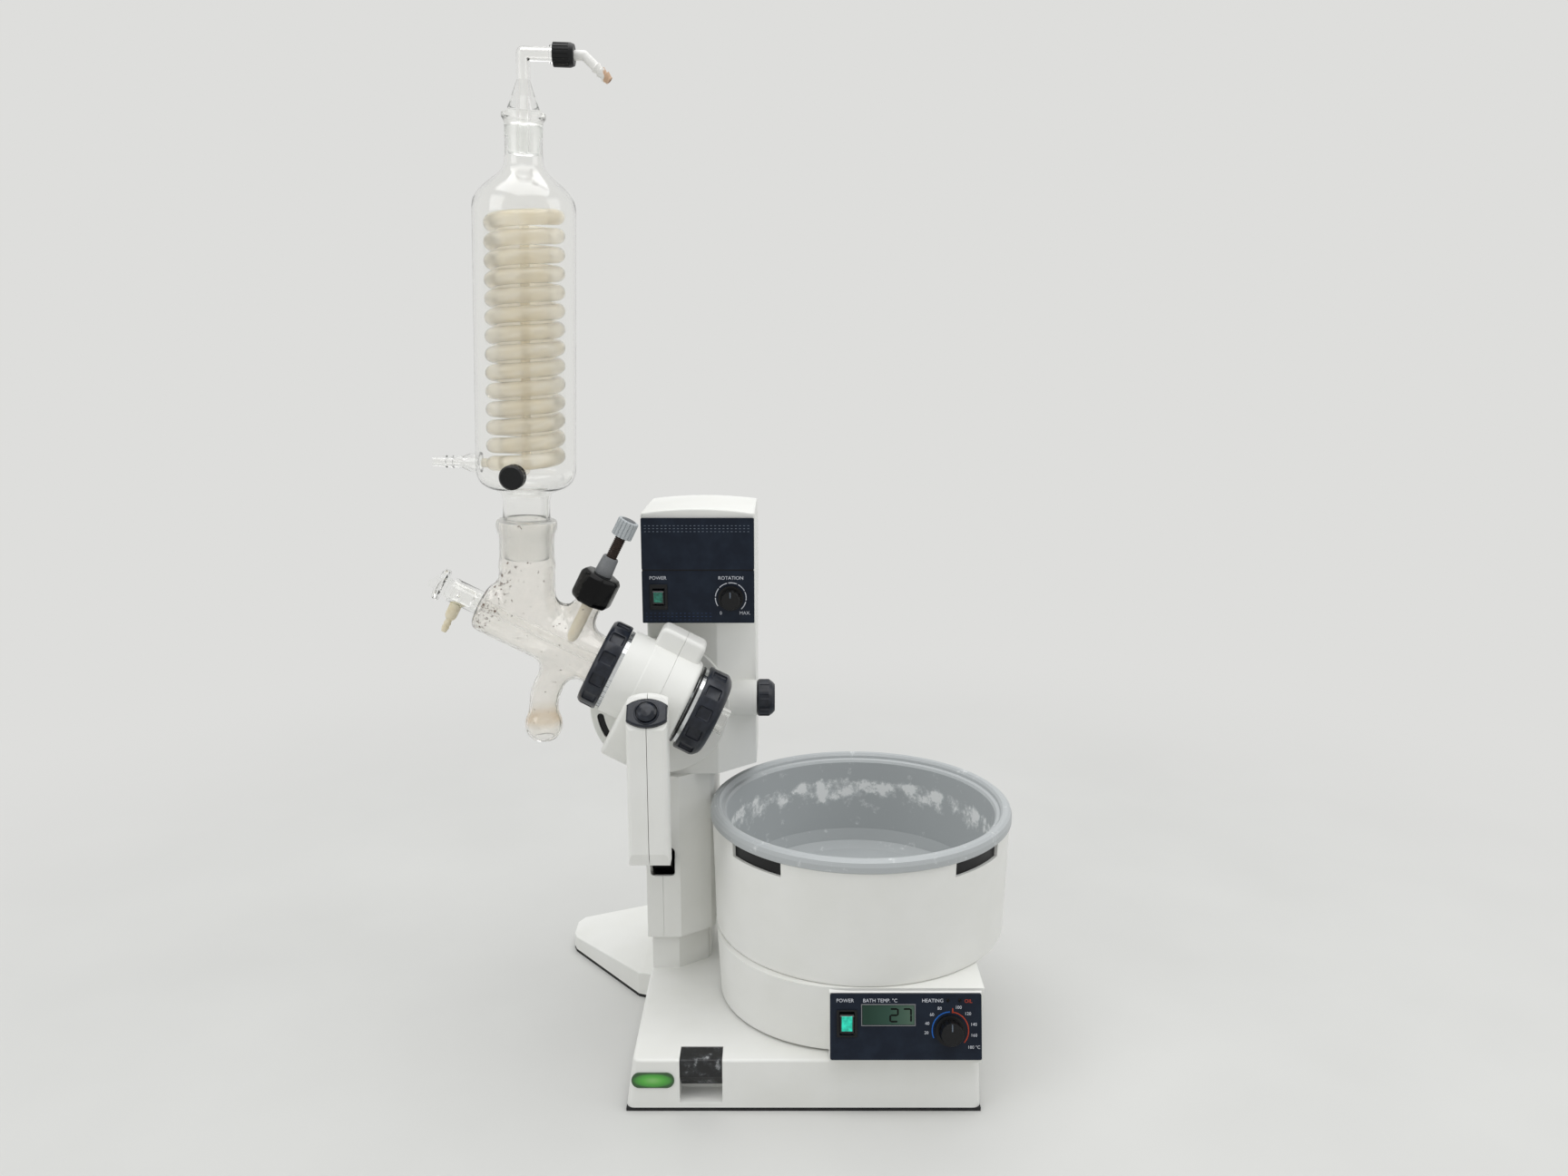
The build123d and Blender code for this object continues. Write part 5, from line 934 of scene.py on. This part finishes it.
upper = dashes("upper_panel_dashes", DASHES_LEFT, 493.7, 26, 3.72, 3, 2.7)
settle(upper, TOWER_FACE, "faded_ink", "tower", "white_paint")
lower = dashes("control_panel_dashes", DASHES_LEFT, 413.0, 16, 3.87, 3, 3.0)
settle(lower, TOWER_FACE, "dim_ink", "tower", "navy_plastic")
prints = [word("POWER", -44.3, LABEL_Y, LABEL_H), word("ROTATION", 29.7, LABEL_Y, LABEL_H, "CENTER"),
          word("0", 20.4, END_Y, END_H, "CENTER"), word("MAX.", 42.4, END_Y, END_H, "CENTER")]
step = (SCALE_END - SCALE_START) / SCALE_STEPS
first_step = arc("scale_step", SCALE_R, SCALE_W, SCALE_START + SCALE_GAP_DEG / 2,
                 SCALE_START + step - SCALE_GAP_DEG / 2)
for index in range(SCALE_STEPS):
    prints.append(lay(copy_of(first_step), frame_at((*KNOB, 0), index * step, "Z")))
bpy.data.objects.remove(first_step)
settle(join("control_panel_words", prints), TOWER_FACE, "white_ink", "tower", "white_paint")

# %% [markdown]
# Knob pointers are white inlays in the groove that the knob's crown already has, so a thin bar that
# stands a little proud of the crown is enough.

# %% Knob pointers
POINTER_W, POINTER_T, POINTER_SUNK = 1.0, 0.7, 0.3
POINTER_FROM, POINTER_TO = 0.22, 0.68
KNOB_GAP = 0.4


def pointer(name, radius, length, pose, body):
    inlay = bar(name, -POINTER_W / 2, POINTER_W / 2, POINTER_FROM * radius, POINTER_TO * radius, POINTER_T)
    settle(inlay, pose @ frame_at((0, 0, length - POINTER_SUNK)), "faded_ink", body, "white_paint")


pointer("speed_knob_pointer", 11.5, 14.0, TOWER_FACE @ frame_at((*KNOB, KNOB_GAP)), "speed_knob")
pointer("bath_knob_pointer", 13.0, 13.0, BATH_FACE @ frame_at((*DIAL, KNOB_GAP)), "bath_knob")

# %% [markdown]
# A bare domed plate sits on the base's front. It could be a squashed sphere, but its ends are round and
# its rim is a step. So it starts as a plane whose corners are bevelled until they meet, is drawn out,
# and its face is inset ring by ring, down and up again.

# %% Badge
BADGE_T = 0.9
BADGE_CORNER_SHARE = 0.49
BADGE_RINGS = [(1.0, 0.0), (0.4, -0.3), (1.4, 0.35), (1.6, 0.2)]

badge = begin_plate("base_badge", BADGE_W, BADGE_H)
bpy.ops.mesh.bevel(offset=BADGE_CORNER_SHARE * BADGE_H * MM, segments=12, affect="VERTICES")
draw_out(BADGE_T)
for width, rise in BADGE_RINGS:
    bpy.ops.mesh.inset(thickness=width * MM, depth=rise * MM)
close_seams()
settle(badge, BASE_FACE, "badge", "base", "green_lens", smooth_deg=60)

# %% [markdown]
# ## Glass
# The condenser's jacket is blown and drawn on a glass lathe, so it is turned here from one soft
# profile: up the outer wall and down the inner one. A point given twice makes a sharp corner there.
# The hose nipple and the port are turned too, and join the jacket at its side.

# %% Condenser jacket
NIPPLE_Z, PORT_Z = 145.0, 139.4
NIPPLE_RIBS, RIB_START, RIB_PITCH = 3, 57, 6
OUTER = [(19.5, 62), (20.9, 97), (20.9, 97), (20.2, 101), (20.2, 118), (26, 122), (38, 127), (42.9, 136),
         (42.9, 150), (42.9, 250), (42.9, 350), (42.9, 364), (37, 373), (28, 381), (18, 389), (15.6, 397),
         (15.6, 420), (16, 428), (18.3, 430), (18.3, 434), (18.3, 434)]
INNER = [(13.2, 434), (13.2, 434), (13.2, 398), (15.8, 387.6), (26.2, 379), (35, 371.3), (40.5, 362.5),
         (40.5, 350), (40.5, 250), (40.5, 150), (40.5, 137.5), (36.5, 129.2), (25, 124.6), (17.8, 119.5),
         (17.8, 101), (17.1, 62), (19.5, 62)]

jacket = lathe("condenser_jacket_glass", OUTER + INNER, soft=True)
ribs = []
for index in range(NIPPLE_RIBS):
    along = RIB_START + RIB_PITCH * index
    ribs += [(5.5, along), (4.1, along + 4.5), (4.1, along + 6)]
NIPPLE = [(9.6, 41.4), (9.2, 44), (6.6, 52), (5, 55), *ribs, (4, 80.9), (2.6, 80.9), (2.6, 52), (6.6, 44),
          (7, 41.4), (9.6, 41.4)]
nipple = lay(lathe("nipple", NIPPLE, 48), frame_at((0, 0, NIPPLE_Z), -90))
port = lathe("port", [(8, 41.4), (8, 54.8), (5.4, 54.8), (5.4, 41.4), (8, 41.4)], 48)
lay(port, frame_at((0, 0, PORT_Z), 90, "X"))
settle(join("condenser_jacket_glass", [jacket, nipple, port]), CONDENSER, "glass", "head", "clear_glass",
       "condenser_jacket", smooth_deg=40)

# %% [markdown]
# The vapour manifold is one piece of blown glass: a wide tube with a neck, a branch for the valve and
# a bent outlet, melted together with smooth fillets. We join plain forms, remesh them into one skin,
# smooth it as the flame does, cut the mouths open and give the skin its wall. Swelling the skin and
# shrinking it again fills the corners between the tubes, which makes the fillets.

# %% Vapour manifold
GLASS_Y = HEAD_MM[1]
OUTLET_X, OUTLET_R = -140.36, 13.4
BALL_R, BALL_Z, BALL_END_Z = 17.4, 315.0, 301.3
GLASS_WALL = 2.3
VOXEL, FILLET = 1.4 * MM, 8.0 * MM
TUBE = [(0, -172), (13, -172), (23, -171), (23, -158), (23, -44), (23, -44), (0, -44)]
NECK = [(0, -4), (26.3, -4), (24.8, 30), (24.4, 53), (25.4, 55), (25.4, 58), (23.9, 60), (23.9, 84),
        (26.2, 87), (26.8, 89), (26.8, 97), (0, 99)]
OUTLET = [(-122.9, GLASS_Y, 374.7), (-132.0, GLASS_Y, 356.9),
          (OUTLET_X, GLASS_Y, 341), (OUTLET_X, GLASS_Y, 318)]
MOUTHS = [(SHAFT, -46.0, 1), (CONDENSER, 97.6, 1), (frame_at((0, 0, BALL_END_Z)), 0.0, -1)]

tube = lay(lathe("tube", TUBE, soft=True), SHAFT)
neck = lay(lathe("neck", NECK), CONDENSER)
branch = lay(lathe("branch", [(0, -2), (12.6, -2), (12.6, 46.6), (0, 46.6)], 64), BRANCH)
outlet = rod("outlet", OUTLET, OUTLET_R)
deselect()
bpy.ops.mesh.primitive_uv_sphere_add(segments=48, ring_count=24, radius=BALL_R * MM,
                                     location=Vector((OUTLET_X, GLASS_Y, BALL_Z)) * MM)
ball = bpy.context.object
apply_place()
manifold = join("vapour_manifold", [tube, neck, branch, outlet, ball])
for smoothing, swell in ((4, FILLET), (10, -FILLET), (14, 0.0)):
    apply_modifier(manifold, "REMESH", mode="VOXEL", voxel_size=VOXEL)
    apply_modifier(manifold, "SMOOTH", factor=0.5, iterations=smoothing)
    if swell:
        apply_modifier(manifold, "DISPLACE", strength=swell, mid_level=0.0)
for pose, along, side in MOUTHS:
    pick(manifold)
    bpy.ops.object.mode_set(mode="EDIT")
    bpy.ops.mesh.select_all(action="SELECT")
    axis = pose.to_3x3() @ Vector((0, 0, 1))
    bpy.ops.mesh.bisect(plane_co=pose @ Vector((0, 0, along * MM)), plane_no=axis,
                        clear_outer=side > 0, clear_inner=side < 0)
    bpy.ops.object.mode_set(mode="OBJECT")
apply_modifier(manifold, "SOLIDIFY", thickness=GLASS_WALL * MM, offset=-1.0, use_even_offset=True)
settle(manifold, WORLD, "milky", "head", "clear_glass", "glass_manifold", smooth_deg=60)

# %% [markdown]
# The stopcock's barrel is a thick glass tube with a cream fluoropolymer spout pressed into its side.
# Both are round, so both are turned: the barrel along the shaft and the spout across it.

# %% Stopcock barrel and spout
SPOUT_S = -191.0
BARREL = [(8.3, -200), (11.2, -200), (11.4, -198), (10.8, -196), (10.8, -170), (8.3, -170), (8.3, -200)]
SPOUT = [(0, -9), (5.4, -9), (5.2, -22), (4.4, -24.5), (2.8, -26), (2.8, -28), (3.4, -30), (2.8, -32),
         (3.3, -34), (2.4, -38.3), (1.4, -38.3), (1.4, -30), (0, -29)]

settle(lathe("stopcock_barrel", BARREL, 64), SHAFT, "glass", "head", "clear_glass")
settle(lathe("stopcock_spout", SPOUT, 40), HEAD @ frame_at((SPOUT_S, 0, 0)), "cream", "head", "ptfe")

# %% [markdown]
# ## Stem valve
# A black eight-sided nut clamps a grey collar on the branch. Turning a profile in eight steps gives the
# flats by itself. The brown spindle has a real screw thread, made by a Screw modifier from one tooth,
# because bump would leave its outline smooth, and a cream stem closes the bore below.

# %% Stem valve
NUT_TURN_DEG, NUT_EDGE = 12, 0.9
THREAD_PITCH, THREAD_TURNS, THREAD_LOW = 1.7, 14, 87.2
NUT = [(13.0, 45), (16.4, 45), (18.2, 47.6), (18.8, 50), (18.8, 69.6), (16.0, 73.4), (6.7, 73.4), (6.7, 60),
       (13.0, 60), (13.0, 45)]
COLLAR = [(5.0, 73.5), (8.0, 73.5), (8.1, 74.2), (7.2, 89.6), (6.6, 90.6), (5.0, 90.6), (5.0, 73.5)]
TOOTH = [(4.1, 0, 0), (4.9, 0, 0.35), (4.9, 0, 0.8), (4.1, 0, 1.2), (4.1, 0, THREAD_PITCH)]
CORE = [(0, 60), (4.05, 60), (4.2, 86), (4.2, 111.6), (0, 111.6)]
STEM = [(0, 5), (2.6, 5.4), (4.6, 9), (5.2, 12), (5.4, 44), (4.6, 46), (4.6, 60), (0, 60)]

nut = apply_modifier(lathe("valve_nut_moulding", NUT, 8), "BEVEL", width=NUT_EDGE * MM, segments=3,
                     limit_method="ANGLE")
settle(nut, BRANCH @ frame_at((0, 0, 0), NUT_TURN_DEG, "Z"), "gloss_black", "head", "black_plastic",
       "valve_nut")
settle(lathe("valve_collar_turning", COLLAR, 64), BRANCH, "mid_grey", "head", "grey_plastic", "valve_collar")
thread = begin_line("valve_thread", TOOTH)
bpy.ops.object.mode_set(mode="OBJECT")
apply_modifier(thread, "SCREW", angle=2 * math.pi, screw_offset=THREAD_PITCH * MM, iterations=THREAD_TURNS,
               steps=32, render_steps=32, use_merge_vertices=True)
bpy.ops.object.mode_set(mode="EDIT")
close_seams()
lay(thread, frame_at((0, 0, THREAD_LOW)))
settle(join("valve_spindle_thread", [thread, lathe("valve_core", CORE, 32)]), BRANCH, "brown", "stem_valve",
       "brown_plastic", "valve_spindle")
settle(lathe("valve_stem", STEM, 40), BRANCH, "cream", "stem_valve", "ptfe")

# %% [markdown]
# The valve's knob is fluted for the fingers. Sixteen grooves could be cut one by one; pulling in each
# fourth vertex of a ring before it is drawn up gives them all at once. A darker cap closes its top.

# %% Valve knob
GRIP_R, GRIP_LOW, GRIP_HIGH = 9.4, 111.5, 127.4
FLUTES, FLUTE_DEPTH, CHAMFER = 16, 1.1, 0.8
GRIP_CAP = [(0, 128.0), (5.6, 128.0), (6.6, 127.5), (6.6, 126.8), (0, 126.8)]

deselect()
bpy.ops.mesh.primitive_circle_add(vertices=4 * FLUTES, radius=GRIP_R * MM, fill_type="NGON",
                                  location=(0, 0, GRIP_LOW * MM))
grip = bpy.context.object
grip.name = "valve_knob_grip"
apply_place()
bpy.ops.object.mode_set(mode="EDIT")
bpy.ops.mesh.select_mode(type="VERT")
bpy.ops.mesh.select_all(action="DESELECT")
mesh = bmesh.from_edit_mesh(grip.data)
for vertex in mesh.verts:
    vertex.select = vertex.index % 4 == 0
mesh.select_flush_mode()
bmesh.update_edit_mesh(grip.data)
share = 1 - FLUTE_DEPTH / GRIP_R
bpy.ops.transform.resize(value=(share, share, 1), center_override=(0, 0, GRIP_LOW * MM))
draw_out(GRIP_HIGH - GRIP_LOW - CHAMFER)
bpy.ops.mesh.inset(thickness=CHAMFER * MM, depth=CHAMFER * MM)
close_seams()
settle(grip, BRANCH, "grey", "stem_valve", "grey_plastic", "valve_knob")
settle(lathe("valve_knob_cap", GRIP_CAP, 40), BRANCH, "dark_grey", "stem_valve", "grey_plastic")

# %% [markdown]
# ## Cooling coil
# The coil is one long tube wound closely round the condenser's axis. A curve could carry a bevel along
# a helix, but its points would have to be worked out. A circle is drawn beside the axis instead, and
# the Screw modifier carries it up turn by turn. The riser in the middle brings the water back.

# %% Cooling coil
COIL_LOW, COIL_PITCH, COIL_TURNS = NIPPLE_Z, 15.4, 13.5
COIL_R, COIL_TUBE_R, COIL_PIPE_R = 27.2, 6.6, 4.0
COIL_STEPS = int(72 * COIL_TURNS)
COIL_TOP = COIL_LOW + COIL_PITCH * COIL_TURNS
INLET = [(-39, 0, COIL_LOW), (-33, 0, COIL_LOW), (-COIL_R, 0, COIL_LOW)]
RISER = [(COIL_R, 0, COIL_TOP), (12, 0, COIL_TOP + 1), (0, 0, COIL_TOP + 1), (0, 0, COIL_TOP - 12),
         (0, 0, 250), (0, 0, 152), (0, 0, PORT_Z), (0, -12, PORT_Z), (0, -40, PORT_Z)]

deselect()
bpy.ops.mesh.primitive_circle_add(vertices=28, radius=COIL_TUBE_R * MM, rotation=(math.pi / 2, 0, 0),
                                  location=(-COIL_R * MM, 0, COIL_LOW * MM))
coil = bpy.context.object
apply_place()
apply_modifier(coil, "SCREW", angle=2 * math.pi * COIL_TURNS, screw_offset=COIL_PITCH * COIL_TURNS * MM,
               steps=COIL_STEPS, render_steps=COIL_STEPS, use_merge_vertices=True)
bpy.ops.object.mode_set(mode="EDIT")
bpy.ops.mesh.select_all(action="SELECT")
bpy.ops.mesh.fill_holes(sides=0)
close_seams()
coil_pieces = [coil, rod("coil_inlet", INLET, COIL_PIPE_R), rod("coil_riser", RISER, COIL_PIPE_R)]
settle(join("cooling_coil_glass", coil_pieces), CONDENSER, "coil", "head", "coil_glass", "cooling_coil",
       smooth_deg=60)

# %% [markdown]
# ## Grip nuts
# Both nuts are moulded with rounded pockets for the fingers. Each is turned from its profile, and a ring
# of soft-edged blocks is cut out of it, so that every pocket is the same as the one before.

# %% Grip nuts
POCKETS = 12
POCKET_DEEP, POCKET_WIDE, POCKET_OUT, POCKET_EDGE = 6.8, 11.4, 0.6, 1.7
RIM_ROUND, RIM_ROUND_DEG = 0.45, 28
UNION_R, UNION_MID, UNION_POCKET_L, UNION_TURN_DEG = 40.6, -48.6, 12.4, 6
FLASK_R, FLASK_MID, FLASK_POCKET_L, FLASK_TURN_DEG = 40.3, 48.2, 13.0, 15
UNION = [(24.4, -58.5), (34, -58.5), (37.5, -58), (39.6, -55.9), (40.4, -53.4), (UNION_R, -42), (39.8, -40.3),
         (35, -40.3), (35, -49.9), (24.4, -49.9), (24.4, -58.5)]
FLASK = [(17.2, 38.1), (38.9, 38.1), (40, 39), (FLASK_R, 54), (39.2, 57), (36, 60.5), (33, 62), (15.4, 62),
         (15.4, 48.4), (17.2, 48.4), (17.2, 38.1)]


def grip_nut(name, profile, outer_r, mid, length):
    nut = lathe(name, profile, 120)
    deselect()
    bpy.ops.mesh.primitive_cube_add(size=1, location=((outer_r + POCKET_OUT) * MM, 0, mid * MM))
    block = bpy.context.object
    block.name = "pocket"
    block.scale = (POCKET_DEEP * MM, POCKET_WIDE * MM, length * MM)
    apply_place()
    apply_modifier(block, "BEVEL", width=POCKET_EDGE * MM, segments=4, limit_method="NONE")
    carve(nut, copies_round(block, POCKETS))
    return apply_modifier(nut, "BEVEL", width=RIM_ROUND * MM, segments=2, limit_method="ANGLE",
                          angle_limit=math.radians(RIM_ROUND_DEG))


settle(grip_nut("union_nut_moulding", UNION, UNION_R, UNION_MID, UNION_POCKET_L),
       SHAFT @ frame_at((0, 0, 0), UNION_TURN_DEG, "Z"), "nut", "union_nut", "navy_plastic", "condenser_nut")
settle(grip_nut("flask_nut_moulding", FLASK, FLASK_R, FLASK_MID, FLASK_POCKET_L),
       SHAFT @ frame_at((0, 0, 0), FLASK_TURN_DEG, "Z"), "nut", "rotor", "navy_plastic", "flask_nut")

# %% [markdown]
# Beside the nuts sit bright rings. The left one is knurled: one ridge, copied round the ring, because a
# bumped ring would keep a smooth edge. The right one carries a black sealing band.

# %% Knurled ring and sealing band
KNURLS, KNURL_R, KNURL_S = 110, 37.0, -38.2
BAND = [(36.4, 32.7), (36.9, 32.8), (36.9, 34.9), (36.4, 35.0), (36.4, 32.7)]

ridge = bar("thread_ring_knurl", -1.5, 1.5, -0.5, 0.5, 0.6)
lay(ridge, frame_at((KNURL_R, 0, KNURL_S), 90))
settle(copies_round(ridge, KNURLS), SHAFT, "chrome", "head", "chrome", smooth_deg=20)
settle(lathe("nut_ring_band", BAND), SHAFT, "black", "rotor", "black_plastic")

# %% [markdown]
# The tilt plate has a curved stop slot, and a black sheet at its bottom is painted shade in the slot.
# The sheet's outline follows two arcs and two round ends worked out from the slot, and is filled and
# drawn out. The thumb button sits in a rounded ring, which is turned.

# %% Painted shade in the stop slot, and thumb-button ring
PLATE_MM, PLATE_R = (-39.5, -58.2, 318.0), 57.0
SLOT_START, SLOT_SPAN, SLOT_HALF, SLOT_SHADE_T = 190.0, 18.0, 3.1, 2.6
SLOT_END = SLOT_START + SLOT_SPAN
BUTTON = frame_at((-39.5, -166.0, 343.5), 52, "X")
RING = [(9.1, 2.4), (10.6, 2.4), (10.9, 2.9), (10.5, 3.5), (9.8, 3.7), (9.3, 3.4), (9.1, 2.4)]

arc_angles = [SLOT_START + share * SLOT_SPAN / 6 for share in range(7)]
far_end, near_end = round_point(PLATE_R, SLOT_END), round_point(PLATE_R, SLOT_START)
outline = [round_point(PLATE_R + SLOT_HALF, angle) for angle in arc_angles]
outline += [round_point(SLOT_HALF, SLOT_END + turn, far_end) for turn in range(15, 180, 15)]
outline += [round_point(PLATE_R - SLOT_HALF, angle) for angle in reversed(arc_angles)]
outline += [round_point(SLOT_HALF, SLOT_START + 180 + turn, near_end) for turn in range(15, 180, 15)]
# Painted shade: a black sheet at the bottom of the slot makes the slot look dark.
settle(filled("stop_slot_painted_shade", outline, SLOT_SHADE_T), frame_at(PLATE_MM, 90, "X"), "black", "head", "black_plastic")
settle(lathe("button_ring", RING, 64), BUTTON, "thumb", "lever", "navy_plastic")

# %% [markdown]
# ## Tower details
# A black strip sunk behind the joint between the tower's two panels is painted shade in that gap, and four
# screws hold its housing from behind. One screw is turned and its cross recess is cut; the others are copies.

# %% Painted shade in the panel joint, and housing screws
JOINT_HALF, JOINT_LOW, JOINT_HIGH, JOINT_T, JOINT_SUNK = 50.6, 452.45, 453.55, 0.8, 1.2
HOUSING_BACK, SCREW_X, SCREW_Z = 64.0, 42.0, (262.0, 462.0)
RECESS_L, RECESS_W, RECESS_T, RECESS_Z = 1.9, 0.35, 1.6, 1.4
SCREW_HEAD = [(0, -0.4), (3.2, -0.4), (3.2, 0.3), (2.6, 1.0), (1.2, 1.4), (0, 1.5)]

# Painted shade: a black strip sunk behind the panel faces darkens the gap between them.
joint = bar("panel_gap_painted_shade", -JOINT_HALF, JOINT_HALF, JOINT_LOW, JOINT_HIGH, JOINT_T)
settle(joint, TOWER_FACE @ frame_at((0, 0, -JOINT_SUNK)), "black", "tower", "black_plastic")
screw = lathe("housing_screw", SCREW_HEAD, 32)
for half_x, half_y in ((RECESS_L, RECESS_W), (RECESS_W, RECESS_L)):
    recess = bar("recess", -half_x, half_x, -half_y, half_y, RECESS_T)
    carve(screw, lay(recess, frame_at((0, 0, RECESS_Z))))
screw_spots = [(x, HOUSING_BACK, z) for x in (-SCREW_X, SCREW_X) for z in SCREW_Z]
screws = [lay(copy_of(screw), frame_at(spot, -90, "X")) for spot in screw_spots]
bpy.data.objects.remove(screw)
settle(join("housing_screws", screws), WORLD, "steel", "tower", "steel")
